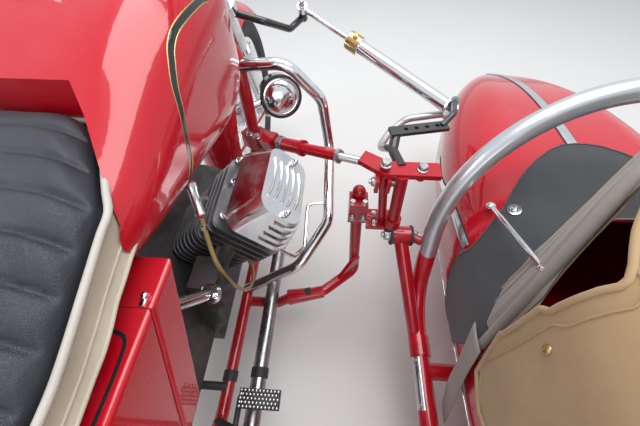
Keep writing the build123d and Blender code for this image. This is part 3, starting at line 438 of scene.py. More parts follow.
def frame_of(direction):
    """Two unit vectors square to a direction, and the direction itself."""
    w = Vector(direction).normalized()
    u = w.cross(Vector((0, 0, 1)) if abs(w.z) < 0.9 else Vector((1, 0, 0))).normalized()
    return u, w.cross(u), w


def turned(profile, place, direction, sides=28, phase=0.0):
    """A part turned about an axis: the profile's (radius, height) pairs, in millimetres."""
    u, v, w = frame_of(direction)
    rows = []
    for radius, height in profile:
        rows.append([place + w * (height / 1000) + (u * math.cos(a) + v * math.sin(a)) * (radius / 1000)
                     for a in (phase + 2 * math.pi * i / sides for i in range(sides))])
    return grid(rows, closed=True, capped=True)


def band(inner, outer, half, slope, place, direction, sides, phase=0.0):
    """A sleeve of a half length whose ends slope from its outer to its inner radius, in millimetres."""
    return turned([(inner, -half), (outer, slope - half), (outer, half - slope), (inner, half)],
                  place, direction, sides, phase)


def smooth_line(points, steps=8):
    """Points on a smooth line through the given points."""
    line = []
    ends = [2 * points[0] - points[1], *points, 2 * points[-1] - points[-2]]
    for a, b, c, d in zip(ends, ends[1:], ends[2:], ends[3:]):
        for i in range(steps):
            t = i / steps
            line.append(0.5 * (2 * b + (c - a) * t + (2 * a - 5 * b + 4 * c - d) * t * t
                               + (3 * b - a - 3 * c + d) * t ** 3))
    return line + [points[-1]]


def rod(points, radius, sides=12, steps=8, ring=False):
    """A round rod along a smooth line, or a closed ring of it; the radius is in millimetres."""
    line = smooth_line(points, steps) if len(points) > 2 else list(points)
    if ring:
        line = line[:-1]
    rows, u = [], None
    for i, p in enumerate(line):
        before = line[i - 1] if (i or ring) else p
        after = line[(i + 1) % len(line)] if (i + 1 < len(line) or ring) else p
        w = (after - before).normalized()
        u = (frame_of(w)[0] if u is None else (u - w * u.dot(w)).normalized())
        v = w.cross(u)
        rows.append([p + (u * math.cos(a) + v * math.sin(a)) * (radius / 1000)
                     for a in (2 * math.pi * k / sides for k in range(sides))])
    if ring:
        rows.append(rows[0])
    return grid(rows, closed=True, capped=not ring)


# %% [markdown]
# A fastener is a washer with a hexagon head on it, and then a dome or the end of its stud. Many of them make
# one piece from a table, because they differ only in place, direction and size.

# %% Bolts and nuts


def bolt(place, direction, size, domed=False, stud=0.0):
    """A washer and a hexagon head across flats of a size, or a domed nut, in millimetres."""
    r = size / 2 / math.cos(math.pi / 6)
    washer = turned([(r * 1.08, -0.4), (r * 1.12, 0.2), (r * 1.12, size * 0.1), (r * 1.05, size * 0.14)],
                    place, direction, 28)
    head = turned([(r, size * 0.12), (r, size * 0.56), (r * 0.86, size * 0.66)], place, direction, 6, 0.3)
    parts = [washer, head]
    if domed:
        parts.append(turned([(r * 0.78, size * 0.6), (r * 0.74, size * 0.85), (r * 0.52, size * 1.08),
                             (r * 0.1, size * 1.18)], place, direction, 24))
    elif stud:
        parts.append(turned([(r * 0.48, size * 0.6), (r * 0.48, size * 0.66 + stud),
                             (r * 0.36, size * 0.7 + stud)], place, direction, 16))
    return parts


def bolts(name, table, material, body="outfit"):
    """Many bolts as one piece: (x, y, z, direction, size, domed, stud) in the source's millimetres."""
    parts = []
    for x, y, z, direction, size, *more in table:
        parts += bolt(at(x, y, z), direction, size, *more)
    return shown(name, parts, material, body)


# %% [markdown]
# Painted lines, bright strips and ribs lie on surfaces that curve two ways. Each point of the strip's section
# is dropped on the nearest point of the surface, so the strip follows it without a gap.

# %% Strips on a surface


def skin_of(name):
    """A tree over a CAD node that finds the nearest point of its surface."""
    mesh = nodes[name].data
    mesh.calc_loop_triangles()
    return BVHTree.FromPolygons([v.co.copy() for v in mesh.vertices],
                                [list(t.vertices) for t in mesh.loop_triangles])


def moulding(surface, path, width, height, crown=0.4, shift=0.0):
    """A strip laid on a surface along a path of points in the frame; its sizes are in millimetres."""
    section = [(-0.5, -0.3), (-0.5, 0.55), (-0.36, 0.85), (-crown * 0.5, 1), (crown * 0.5, 1), (0.36, 0.85),
               (0.5, 0.55), (0.5, -0.3)]
    rows = []
    line = smooth_line(path, 10)
    for i, p in enumerate(line):
        near, normal, _, _ = surface.find_nearest(p)
        w = (line[min(i + 1, len(line) - 1)] - line[max(i - 1, 0)]).normalized()
        side = w.cross(normal).normalized()
        row = []
        for across_part, up in section:
            spot = near + side * ((across_part * width + shift) / 1000)
            foot, foot_normal, _, _ = surface.find_nearest(spot)
            row.append(foot + foot_normal * (up * height / 1000))
        rows.append(row)
    return grid(rows, closed=True, capped=True)


# %% [markdown]
# The outlines of the soft goods are tables: a station along the motorcycle and a size there. They are read
# straight between two rows, and a mean of a few readings rounds their corners.

# %% Tables and easing


def smoother(low, high, value):
    """0 at low, 1 at high, smooth between; low may be the larger."""
    t = max(0.0, min(1.0, (value - low) / (high - low)))
    return t * t * (3 - 2 * t)


def reading(table, value):
    """The value read from a table of (place, value) pairs in rising order, straight between them."""
    if value <= table[0][0]:
        return table[0][1]
    for (a, first), (b, second) in zip(table, table[1:]):
        if value <= b:
            return first + (second - first) * (value - a) / (b - a)
    return table[-1][1]


def eased(table, value, shifts):
    """The mean of a table's readings around a value."""
    return sum(reading(table, value + shift) for shift in shifts) / len(shifts)


# %% [markdown]
# The saddle is stuffed vinyl, so it has a crowned section with rounded shoulders that narrows to the nose. The
# section is a superellipse, whose two powers set how square the sides and how flat the top are.

# %% Saddle pad
SEAT_TAIL, SEAT_NOSE = -110, 728
SEAT_EASE = (-36, -18, 0, 18, 36)
SEAT_HALF = [(-110, 120), (-70, 156), (430, 158), (590, 148), (690, 96), (728, 70)]
SEAT_TOP = [(-110, 812), (60, 826), (250, 800), (430, 806), (600, 842), (690, 850), (728, 846)]
SEAT_SPLIT = [(-110, 762), (430, 756), (600, 796), (728, 796)]
SEAT_FLOOR = [(-110, 728), (430, 728), (600, 752), (728, 780)]


def seat_half(y):
    """The saddle's half width, rounded off at its nose and its tail."""
    base = reading(SEAT_HALF, max(-104, min(y, 722)))
    for end, reach in ((SEAT_NOSE, 40), (SEAT_TAIL, 60)):
        gap = abs(end - y)
        if gap < reach:
            base *= 0.62 + 0.38 * math.sqrt(1 - (1 - gap / reach) ** 2)
    return base


def soft_top(y):
    """The height of the pad's top along its side profile."""
    return eased(SEAT_TOP, y, SEAT_EASE)


def soft_split(y):
    """The height at which the pad ends and the skirt begins."""
    return eased(SEAT_SPLIT, y, SEAT_EASE)


def pad_rows(shrink):
    """Closed sections of the pad, smaller all round by what the stuffing will add."""
    rows = []
    for i in range(85):
        y = SEAT_TAIL + shrink + (SEAT_NOSE - SEAT_TAIL - 2 * shrink) * i / 84
        half = seat_half(y) - shrink
        low = soft_split(y) + 0.4 + shrink * 0.2
        high = max(low + 12, soft_top(y) - shrink)
        full = smoother(SEAT_NOSE, 706, y) * smoother(SEAT_TAIL, -80, y)
        high = low + (high - low) * (0.7 + 0.3 * full)
        row = []
        for k in range(41):
            turn = math.pi * (1 - k / 40)
            c, s = math.cos(turn), math.sin(turn)
            x = half * math.copysign(abs(c) ** 0.42, c)
            z = low + (high - low) * abs(s) ** 0.5
            row.append(at(x, y, z))
        for k in range(1, 16):
            row.append(at(half * (1 - 2 * k / 16), y, low))
        rows.append(row)
    return rows


saddle = shown("saddle_pad", [grid(pad_rows(2.5), closed=True, capped=True)], seat_black, smooth=180)

# %% [markdown]
# Stuffing pushes the cover outwards until the vinyl holds it. A short cloth simulation with pressure does the
# same; the movement is capped so that the pad keeps its size, and a subdivision smooths the result.

# %% Stuffing
CLOTH_FRAMES = 20


def applied(piece):
    """The piece's mesh replaced by what its modifiers make of it."""
    depsgraph = bpy.context.evaluated_depsgraph_get()
    piece.data = bpy.data.meshes.new_from_object(piece.evaluated_get(depsgraph))
    piece.modifiers.clear()


def remeshed(piece, voxel):
    """The piece with an even mesh of a voxel size in metres."""
    remesh = piece.modifiers.new("remesh", "REMESH")
    remesh.mode, remesh.voxel_size = "VOXEL", voxel
    applied(piece)


def puffed(piece, voxel, cap):
    remeshed(piece, voxel)
    start = [v.co.copy() for v in piece.data.vertices]
    cloth = piece.modifiers.new("cloth", "CLOTH")
    cloth.settings.use_pressure = True
    cloth.settings.uniform_pressure_force = 4.0
    cloth.settings.effector_weights.gravity = 0
    cloth.settings.quality = 5
    cloth.settings.tension_stiffness = cloth.settings.compression_stiffness = 15
    scene = bpy.context.scene
    for timeline in (scene, cloth.point_cache):
        timeline.frame_start, timeline.frame_end = 1, CLOTH_FRAMES
    for step in range(1, CLOTH_FRAMES + 1):
        scene.frame_set(step)
    applied(piece)
    for vertex, rest in zip(piece.data.vertices, start):
        move = vertex.co - rest
        if move.length > cap:
            vertex.co = rest + move * (cap / move.length)
    scene.frame_set(1)


def refined(piece):
    """The piece with one subdivision applied and its materials kept."""
    modifier = piece.modifiers.new("smooth", "SUBSURF")
    modifier.levels = modifier.render_levels = 1
    materials = list(piece.data.materials)
    applied(piece)
    if not piece.data.materials:
        for material in materials:
            piece.data.materials.append(material)
    piece.data.polygons.foreach_set("use_smooth", [True] * len(piece.data.polygons))


puffed(saddle, 0.006, 0.005)
refined(saddle)
print("saddle points:", len(saddle.data.vertices))

# %% [markdown]
# Rows of stitching draw the cover down into channels that bow towards the nose. Each is a narrow crease inside
# a wider dip, pressed into the pad's top and fading out at its sides, with soft wrinkles between.

# %% Sewn channels
CREASE_DEPTH, CREASE_WIDTH = 5.0, 3.6
DIP_DEPTH, DIP_WIDTH = 3.4, 11
CHANNEL_PITCH = 41.5
CHANNELS = [680 - CHANNEL_PITCH * i for i in range(19)]
for vertex in saddle.data.vertices:
    p = (vertex.co + ORIGIN) * 1000
    half = seat_half(p.y)
    low, high = soft_split(p.y), soft_top(p.y)
    rise = smoother(low + (high - low) * 0.45, low + (high - low) * 0.8, p.z)
    inside = 1 - smoother(0.93, 1.0, abs(p.x) / max(half, 1))
    bow = 16 * (abs(p.x) / 160) ** 2.2
    depth = 0.0
    for line in CHANNELS:
        gap = abs(p.y - (line - bow))
        if gap < 24:
            depth += CREASE_DEPTH * math.exp(-(gap / CREASE_WIDTH) ** 2)
            depth += DIP_DEPTH * math.exp(-(gap / DIP_WIDTH) ** 2)
    drop = depth * rise * (0.35 + 0.65 * inside)
    wrinkle = noise.noise(Vector((p.x, p.y * 1.6, p.z)) / 38) * 1.1 * rise
    vertex.co.z += (wrinkle - drop) / 1000
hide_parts("seat_pad")
print("channels:", len(CHANNELS))

# %% [markdown]
# A bead of pale piping covers the seam where the pad's top meets its side. It is one closed rod.

# %% Saddle piping


def seat_edge(y, side):
    """A point on the rim where the saddle's top turns down to its side."""
    return at(side * (seat_half(y) + 0.5), y, soft_split(y) + (soft_top(y) - soft_split(y)) * 0.34)


rim_places = [*range(-92, 712, 22), 718, 726]
rim_loop = [seat_edge(y, 1) for y in rim_places] + [seat_edge(y, -1) for y in reversed(rim_places)]
piping = shown("saddle_piping", [rod(rim_loop + [rim_loop[0]], 4.2, 12, 3, ring=True)], piping_pale)

# %% [markdown]
# The skirt is cream vinyl sewn to the pad. It hangs in shallow folds that deepen towards a beaded hem, so it is
# built row by row from the pad's edge down, with noise for the folds.

# %% Saddle skirt


def skirt_point(y, side, share, thick=0.0):
    """Down the skirt from the saddle's rim, 0, to its hem, 1, with folds that deepen towards the hem."""
    half = seat_half(y)
    top = soft_split(y) + 6
    floor = eased(SEAT_FLOOR, y, (-30, -15, 0, 15, 30)) + 1.5
    fold = (noise.noise(Vector((y / 46, side * 3.1, share * 0.8))) * 3.2
            + noise.noise(Vector((y / 17, side * 9.7, share * 2))) * 1.1) * share
    flare = 3.5 * share ** 1.6 - 2.2 * math.sin(math.pi * share)
    x = half - 1.5 + flare + fold - thick
    return at(side * min(x, half + 5.5), y, top + (floor - top) * share)


skirt_parts = []
for side in (1, -1):
    ys = [-104 + 6.0 * i for i in range(139)]
    outer = [[skirt_point(y, side, k / 14) for k in range(15)] for y in ys]
    inner = [[skirt_point(y, side, k / 14, 3.0) for k in range(14, -1, -1)] for y in ys]
    rows = [a + b for a, b in zip(outer, inner)]
    skirt_parts.append(grid(rows, closed=True, capped=True))
    for share, out, radius, sides in ((0.985, 0.001, 2.6, 10), (0.62, 0.0004, 1.5, 8)):
        bead = [skirt_point(y, side, share) + Vector((side * out, 0, 0)) for y in ys[::4]]
        skirt_parts.append(rod(bead, radius, sides, 4))
for y, sense in ((726, 1), (SEAT_TAIL, -1)):
    rows = []
    for i in range(13):
        x, edge = (i / 6 - 1) * (seat_half(y) - 1), y - 3 * sense
        heights = [soft_split(y) + 6 - 30 * k / 8 for k in range(9)]
        rows.append([at(x, edge, z) for z in heights] + [at(x, edge - 3 * sense, z) for z in reversed(heights)])
    skirt_parts.append(grid(rows, closed=True, capped=True))
skirt = shown("saddle_skirt", skirt_parts, seat_cream, smooth=60)
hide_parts("seat_skirt")

# %% [markdown]
# The fuel hose is the only free cord: clear vinyl gone amber, clipped to the tank's tap and to the engine. It
# hangs between the two in one easy bow, so it is a NURBS curve led by a few points.

# %% Fuel hose
HOSE_ROUTE = [(168, 690, 661.7), (172, 668, 614), (185, 641, 566), (191, 655, 446), (203, 686, 390),
              (186, 760, 378), (140.3, 790, 378)]
hose_line = bpy.data.curves.new("fuel_line", "CURVE")
hose_line.dimensions, hose_line.bevel_depth, hose_line.bevel_resolution = "3D", 0.004, 4
hose_line.use_fill_caps = True
hose_spline = hose_line.splines.new("NURBS")
hose_spline.points.add(len(HOSE_ROUTE) - 1)
for point, place in zip(hose_spline.points, HOSE_ROUTE):
    point.co = (*at(*place), 1)
hose_spline.order_u, hose_spline.use_endpoint_u, hose_spline.resolution_u = 3, True, 12
hose_line.materials.append(hose_finish)
hose = placed("fuel_line", hose_line)
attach(hose, "outfit")
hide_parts("fuel_hose")
CLIPS = (((169.5, 682, 644), (4, -22, -48)), ((158, 783, 378), (-46, 30, 0)))
shown("hose_clips", [band(4.4, 5.6, 4, 0.4, at(*place), way, 20) for place, way in CLIPS], steel)

# %% [markdown]
# The apron and the hood are single sheets of canvas that lie on the sidecar's body. Rays sent inwards round
# the body's axis find its skin, so a sheet can be laid on it without cutting in.

# %% The sidecar's skin
SIDECAR_X, AXIS_Z = 940, 430
outer_points, outer_faces = [v.co.copy() for v in nodes["sidecar_body"].data.vertices], []
for polygon in nodes["sidecar_body"].data.polygons:
    away = polygon.center - at(SIDECAR_X, 0, AXIS_Z)
    if Vector((away.x, 0, away.z)).dot(polygon.normal) > 0:
        outer_faces.append(list(polygon.vertices))
hull = BVHTree.FromPolygons(outer_points, outer_faces)


def hull_point(turn, y):
    """The hull's skin and normal in one direction of its section; 0 degrees is up, 90 to the right."""
    ray = Vector((math.sin(math.radians(turn)), 0, math.cos(math.radians(turn))))
    return hull.ray_cast(at(SIDECAR_X, y, AXIS_Z) + ray * 0.6, -ray)[:2]


def thickened(piece, thickness, offset=0):
    """Cloth of a real thickness, in metres, from a single sheet."""
    solid = piece.modifiers.new("thickness", "SOLIDIFY")
    solid.thickness, solid.offset = thickness, offset


print("outer faces of the body:", len(outer_faces))

# %% [markdown]
# The apron is black canvas stretched over the front of the cockpit, with a hem stitched along its front edge.
# Each row runs from its back edge to its front; a little noise gives the slack that real canvas has.

# %% Apron
APRON_BACK = 545
APRON_LOW_EDGE = [(562, 480), (618, 303), (690, 371), (729, 426), (757, 508)]


def on_apron(place):
    """Whether a place in the source's millimetres is under the apron."""
    side = abs(place.x - SIDECAR_X)
    if place.y < APRON_BACK or (side < 200 and place.y < 560):
        return False
    if side < 200 and place.y < 750 - (190 - math.sqrt(max(0, 190 ** 2 - max(0, side - 10) ** 2))):
        return False
    if place.z >= 505:
        front = 998 - 153 * (side / 195) ** 1.9 if side < 195 else 845 - 155 * min(1, (side - 195) / 140) ** 0.8
        return place.y <= front
    return 560 < place.y < 757 and place.z > reading(APRON_LOW_EDGE, place.y)


apron_rows = []
for turn in [-112 + 224 * i / 168 for i in range(169)]:
    inside = []
    for y in range(APRON_BACK, APRON_BACK + 456, 3):
        spot, normal = hull_point(turn, y)
        if spot and on_apron((spot + ORIGIN) * 1000):
            inside.append(y)
    if len(inside) < 4:
        continue
    row = []
    for k in range(61):
        y = inside[0] + (inside[-1] - inside[0]) * k / 60
        spot, normal = hull_point(turn, y)
        swell = noise.noise(spot * 9) * 1.6 + noise.noise(Vector((spot.x * 30, spot.y * 7, spot.z * 12))) * 0.9
        edge = smoother(0, 0.06, k / 60) * smoother(1, 0.94, k / 60)
        row.append(spot + normal * (3.4 + swell * edge) / 1000)
    apron_rows.append(row)
apron_sheet = shown("apron_sheet", [grid(apron_rows)], apron_black, smooth=180)
thickened(apron_sheet, 0.0022)
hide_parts("apron")
hem_parts = []
for column, rise, radius, sides in ((-1, 0.0006, 2.6, 10), (-4, 0.0005, 1.1, 8)):
    hem_parts.append(rod([row[column] + Vector((0, 0, rise)) for row in apron_rows[::4]], radius, sides, 4))
apron_hem = shown("apron_hem", hem_parts, apron_black)
print("apron rows:", len(apron_rows))

# %% [markdown]
# The hood is one sheet over hidden bows: flat on top, rounded at its corners and straight down to its hem. Each
# point comes from the section at its station, sags a little between two bows and is kept off the body.

# %% Hood sheet
HOOD_BACK, HOOD_FRONT = -372, 556
BOW_Y = 477
HOOD = [(-380, 150, 640, 50), (-250, 200, 760, 100), (0, 262, 848, 130), (300, 290, 864, 148),
        (560, 297, 856, 150), (800, 297, 856, 150)]
HEM = [(-500, 540), (-250, 530), (0, 515), (300, 470), (449, 441), (487, 427), (556, 484), (572, 700)]


def hood_at(y, column):
    """Half width, top and corner of the hood at one station, eased between the bows."""
    return eased([(row[0], row[column]) for row in HOOD], y, (-50, -25, 0, 25, 50))


def hood_front(offset, z):
    """How far forward the hood reaches, following the windscreen's bow."""
    if z <= 690:
        return reading([(427, 487), (484, 556), (700, 564)], z)
    rise = max(0, BOW_Y + math.sqrt(max(0, 289 ** 2 - min(offset, 289) ** 2)) - HOOD_FRONT)
    return HOOD_FRONT + rise * smoother(0, 24, rise)


def hood_point(s, t):
    """s runs from the left hem, -1, over the crown to the right hem, 1; t from the back, 0, to the front, 1."""
    share = abs(s)
    y = HOOD_BACK + 900 * t
    for _ in range(6):
        half, high, corner = (hood_at(y, column) for column in (1, 2, 3))
        hem = eased(HEM, min(y, HOOD_FRONT), (-16, 0, 16))
        if share < 0.4:
            x, z = (half - corner) * share / 0.4, high
        elif share < 0.66:
            a = (share - 0.4) / 0.26 * math.pi / 2
            x, z = half - corner + corner * math.sin(a), high - corner + corner * math.cos(a)
        else:
            x, z = half, high - corner + (hem - high + corner) * (share - 0.66) / 0.34
        y = HOOD_BACK + (hood_front(x, z) - HOOD_BACK) * t
    bows = abs(math.sin(math.pi * (y - 20) / 270)) if y < 560 else 1
    sag = 5 * bows * smoother(0.9, 0.2, share)
    pull = noise.noise(Vector((x * s * 6, y * 2.2, z * 2)) / 900) * 5 * (1 - 0.5 * t)
    crease = noise.noise(Vector((x * s / 60, y / 34, z / 90))) * 2.6 * smoother(0.3, 0.8, share)
    x += (pull * 0.6 + crease) * smoother(0.35, 0.6, share)
    z += pull * 0.5 * smoother(0.6, 0.3, share) - sag * 0.6
    place = at(SIDECAR_X + math.copysign(min(x, half + 4), s), y, z)
    near, normal, _, _ = hull.find_nearest(place)
    if near and (place - near).dot(normal) < 0.0035:
        place = near + normal * 0.0035
    return place


BACK_LOW = at(SIDECAR_X, HOOD_BACK, 566).z
hood_rows = []
for share in (0.02, *(j / 6 for j in range(1, 7))):
    row = []
    for edge in (hood_point(-1 + i / 70, 0.0) for i in range(141)):
        down = Vector((edge.x, edge.y - 0.004, BACK_LOW + (edge.z - BACK_LOW) * share))
        row.append(down if edge.z > BACK_LOW else edge)
    hood_rows.append(row)
for j in range(1, 111):
    hood_rows.append([hood_point(-1 + i / 70, j / 110) for i in range(141)])
hood_sheet = shown("hood_sheet", [grid(hood_rows)], hood_tan, smooth=180)
thickened(hood_sheet, 0.002, offset=-1)
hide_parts("hood")

# %% [markdown]
# Rolled hems close the hood's free edges, and felled seams stand up a little where its panels meet and over the
# bows. They are rods along the sheet's own points; four snaps hold the front edge.

# %% Hood hems, seams and snaps


def lifted(points, rise):
    """The points pushed away from the middle of the cockpit."""
    middle = at(SIDECAR_X, 150, 620)
    return [p + (p - middle).normalized() * rise for p in points]


front_edge, front_seam = ([hood_point(-1 + i / 35, t) for i in range(71)] for t in (1.0, 0.975))
edge_parts = [rod(front_edge, 4.2, 12, 3)]
for s in (-1.0, 1.0):
    edge_parts.append(rod([hood_point(s, 0.06 + 0.94 * i / 40) for i in range(41)], 4.6, 12, 3))
edge_parts.append(rod(lifted(front_seam, 0.0014), 1.3, 8, 3))
for y in (60, 330):
    bow_seam = [hood_point(-0.97 + 1.94 * i / 60, (y - HOOD_BACK) / 1110) for i in range(61)]
    edge_parts.append(rod(lifted(bow_seam, 0.0012), 1.3, 8, 2))
for s in (-0.56, 0.56):
    edge_parts.append(rod(lifted([hood_point(s, 0.02 + 0.96 * i / 50) for i in range(51)], 0.0012), 1.4, 8, 2))
hood_edges = shown("hood_edges", edge_parts, hood_tan)
SNAP = [(7.5, 0.2), (7.5, 1.6), (6, 3.2), (3, 4.2), (0.5, 4.5)]
snap_places = [hood_point(s, 0.955) for s in (-0.72, -0.38, 0.38, 0.72)]
shown("hood_snaps", [turned(SNAP, p, p - at(SIDECAR_X, 350, 600), 24) for p in snap_places], brass)

# %% [markdown]
# A narrow flap of the binding's cloth closes the corner between the windscreen and the body, and hangs down the
# body's side. It is a strip five points wide, waved a little.

# %% Side flap
flap_parts = []
for side in (-1, 1):
    rows = []
    for k in range(25):
        t = k / 24
        y, z = 574 - 94 * t, 505 - 255 * t
        row = []
        for across_part in (-1, -0.5, 0, 0.5, 1):
            wave = 1.4 * math.sin(t * 9 + across_part) + 1.2 * math.cos(across_part * 2)
            row.append(at(SIDECAR_X + side * (302 + wave - 8 * smoother(0.6, 1, t)), y + across_part * 23,
                          z + across_part * 6))
        rows.append(row)
    flap_parts.append(grid(rows))
flap = shown("side_flap", flap_parts, binding_cloth, smooth=180)
thickened(flap, 0.0024)

# %% [markdown]
# Behind the pane's two sides the photograph shows tan canvas. It is taken to be a curtain sewn to the hood,
# which stands just inside the windscreen's bow and billows a little.

# %% Side curtains behind the windscreen
SCREEN_TOP = [(0, 842), (130, 837), (195, 820), (235, 786), (274, 640), (288, 606)]
curtain_parts = []
for side in (-1, 1):
    rows = []
    for i in range(25):
        reach = 288 - 168 * i / 24
        high = reading(SCREEN_TOP, reach)
        row = []
        for k in range(19):
            z = high + (602 - high) * k / 18
            billow = 1.5 * math.sin(reach / 21 + k / 5)
            row.append(at(SIDECAR_X + side * reach, BOW_Y + math.sqrt((292 + billow) ** 2 - reach ** 2), z))
        rows.append(row)
    curtain_parts.append(grid(rows))
curtains = shown("side_curtains", curtain_parts, hood_tan, smooth=180)
thickened(curtains, 0.0016)

# %% [markdown]
# The sidecar's cushion is stuffed as well. Its plain form is remeshed and puffed like the saddle, and then
# stitched into flutes that run fore and aft.

# %% Sidecar seat
FLUTE = 68
CUSHION_VOXEL = 0.009
sidecar_cushion = placed("sidecar_cushion", nodes["sidecar_seat"].data.copy())
sidecar_cushion.data.materials.clear()
sidecar_cushion.data.materials.append(seat_black)
remeshed(sidecar_cushion, CUSHION_VOXEL)
puffed(sidecar_cushion, CUSHION_VOXEL, 0.008)
refined(sidecar_cushion)
normals = [vertex.normal.copy() for vertex in sidecar_cushion.data.vertices]
for vertex, normal in zip(sidecar_cushion.data.vertices, normals):
    across_flute = abs(((vertex.co.x + ORIGIN.x) * 1000 - SIDECAR_X) % FLUTE - FLUTE / 2)
    vertex.co -= normal * 0.003 * math.exp(-((FLUTE / 2 - across_flute) / 4) ** 2)
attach(sidecar_cushion, "outfit")
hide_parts("sidecar_seat")
print("cushion points:", len(sidecar_cushion.data.vertices))

# %% [markdown]
# The painted lines lie on the paint: the tank's black line between two gold ones, and a black stripe on the
# toolbox lids, which turns with each lid.

# %% Painted lines
BOTH = (1, -1)
TANK_LINE = [(176, 925, 884), (175, 909, 888), (168, 865, 886), (162, 833, 880), (161, 811, 871),
             (163, 795, 860), (167, 769, 835), (171, 745, 790), (169, 730, 748), (165, 716, 716)]
tank_skin = skin_of("fuel_tank")
black_lines, gold_lines = [], []
for side in BOTH:
    path = [at(side * x, y, z) for x, y, z in TANK_LINE]
    black_lines.append(moulding(tank_skin, path, 8, 0.35))
    for shift in (-4.8, 4.8):
        gold_lines.append(moulding(tank_skin, path, 1.5, 0.4, shift=shift))
shown("tank_line", black_lines, black_paint)
shown("tank_line_gold", gold_lines, brass)

LID_LINE = [(128, 500), (149, 497), (160, 488), (163, 460), (163, 420), (163, 330), (160, 312), (150, 306),
            (128, 305)]
for side, name in ((1, "right"), (-1, "left")):
    line = moulding(skin_of(f"toolbox_lid_{name}"), [at(side * x, y, 711) for x, y in LID_LINE], 4.6, 0.3)
    shown(f"{name}_lid_line", [line], black_paint, f"{name}_lid")

# %% [markdown]
# The body's bright strips lie on black beds that show as a thin dark edge. The centre strip is wider than the
# others and runs from the apron to the nose.

# %% Bright strips on the body
body_skin = skin_of("sidecar_body")
CENTRE_STRIP = [(936, 1536, 440), (934, 1490, 478), (932, 1440, 498), (930, 1380, 525), (928, 1310, 546),
                (926, 1191, 569), (926, 1110, 577), (926, 1043, 581), (926, 985, 582)]
SIDE_STRIP = [(800, 1420, 405), (735, 1250, 412), (690, 1100, 424), (672, 1008, 438), (664, 936, 464),
              (662, 877, 482), (661, 812, 493), (661, 756, 501)]
LOWER_STRIP = [(664, 900, 330), (652, 769, 328), (646, 657, 326), (645, 560, 325), (645, 300, 325),
               (650, 0, 328), (680, -240, 335)]
strips = [([at(SIDECAR_X + side * (SIDECAR_X - x), y, z) for x, y, z in table], 19, 3.6)
          for side in BOTH for table in (SIDE_STRIP, LOWER_STRIP)]
strips.append(([at(*place) for place in CENTRE_STRIP], 24, 3.8))
bright = [moulding(body_skin, path, width, height) for path, width, height in strips]
dark = [moulding(body_skin, path, width + 6, 1.1) for path, width, _ in strips]
shown("body_strips", bright, polished)
shown("body_strip_beds", dark, black_rubber)

# %% [markdown]
# The windscreen's binding has a rolled bead at each edge, which is a rod along the bow's outline. Its stays are
# chrome rods that stand on the apron, and a turn button beside each holds the apron down.

# %% Windscreen trim
EDGE = [(290, 484), (274, 661), (235, 812), (195, 846), (130, 863), (0, 868)]


def screen_line(trim, lift):
    """A line on the windscreen's bow, a trim inside its outline."""
    half = []
    for reach, z in EDGE:
        x = max(0, reach - (trim if z < 868 else 0))
        bow = BOW_Y + math.sqrt(max(0, (303 + lift) ** 2 - x ** 2))
        half.append((x, bow, max(486, z - (trim if z > 700 else 0))))
    left = [at(SIDECAR_X - x, y, z) for x, y, z in half]
    right = [at(SIDECAR_X + x, y, z) for x, y, z in half[:-1]]
    return left + right[::-1]


beads = [rod(screen_line(0, 0), 8.2, 14, 6), rod(screen_line(29, 5), 3.6, 10, 6),
         rod(screen_line(15, 7.2), 1.2, 8, 6)]
shown("windscreen_beads", beads, binding_cloth)
stays = []
for side in BOTH:
    low, high = at(SIDECAR_X - side * 240, 817, 567), at(SIDECAR_X - side * 266, 618, 672)
    stays.append(rod([low, high], 4.5, 16))
    stays.append(turned([(9, -3), (10, 0), (9, 3), (5, 6)], low, (0, 0.25, 1), 24))
    stays.append(band(7, 8, 6, 2, low + (high - low) * 0.97, high - low, 20))
shown("windscreen_stays", stays, chrome)
buttons, half_bar = [], Vector((0.006, 0.006, 0))
for side in BOTH:
    near, normal, _, _ = body_skin.find_nearest(at(SIDECAR_X + side * 210, 800, 590))
    raised = near + normal * 0.008
    buttons.append(turned([(7, 5), (7.4, 6.6), (12.6, 6.6), (13, 5)], near, normal, 28))
    buttons.append(turned([(3.4, 5), (3.4, 8), (2, 8.4)], near, normal, 12))
    buttons.append(rod([raised - half_bar, raised + half_bar], 1.6, 8))
shown("turn_buttons", buttons, chrome)

# %% [markdown]
# The rocker covers are held by domed nuts and stiffened by curved ribs. The cylinders lean 45 degrees to each
# side, so 0.707 stands for both parts of that direction.

# %% Rocker covers
LEAN = 0.707
cover_bolts = []
for side, shift in ((1, 0), (-1, 27)):
    for x, y, z in ((187, 850, 631), (191, 793, 633), (191, 715, 633), (298, 715, 646), (298, 835, 646)):
        cover_bolts.append((side * x, y + shift, z, (side * LEAN, 0, LEAN), 11, True))
bolts("cover_nuts", cover_bolts, chrome)
ribs = []
cover_skin = skin_of("rocker_covers")
for side, bore in ((1, 775), (-1, 802)):
    for reach in (-34, -20, -6, 8, 22):
        path = [at(side * (292 + LEAN * (reach + 9 * math.cos(t))), bore + 46 * math.sin(t),
                   652 - LEAN * (reach + 9 * math.cos(t))) for t in (-1.25, -0.6, 0, 0.6, 1.25)]
        ribs.append(moulding(cover_skin, path, 4.5, 3.2, 0.15))
shown("cover_ribs", ribs, polished)

# %% [markdown]
# Fasteners sit where two parts really meet: nuts on the tower's brackets, rubber bushes in its eyes, a locknut
# and a thread on the strut. A thread is a turned part whose radius goes up and down.

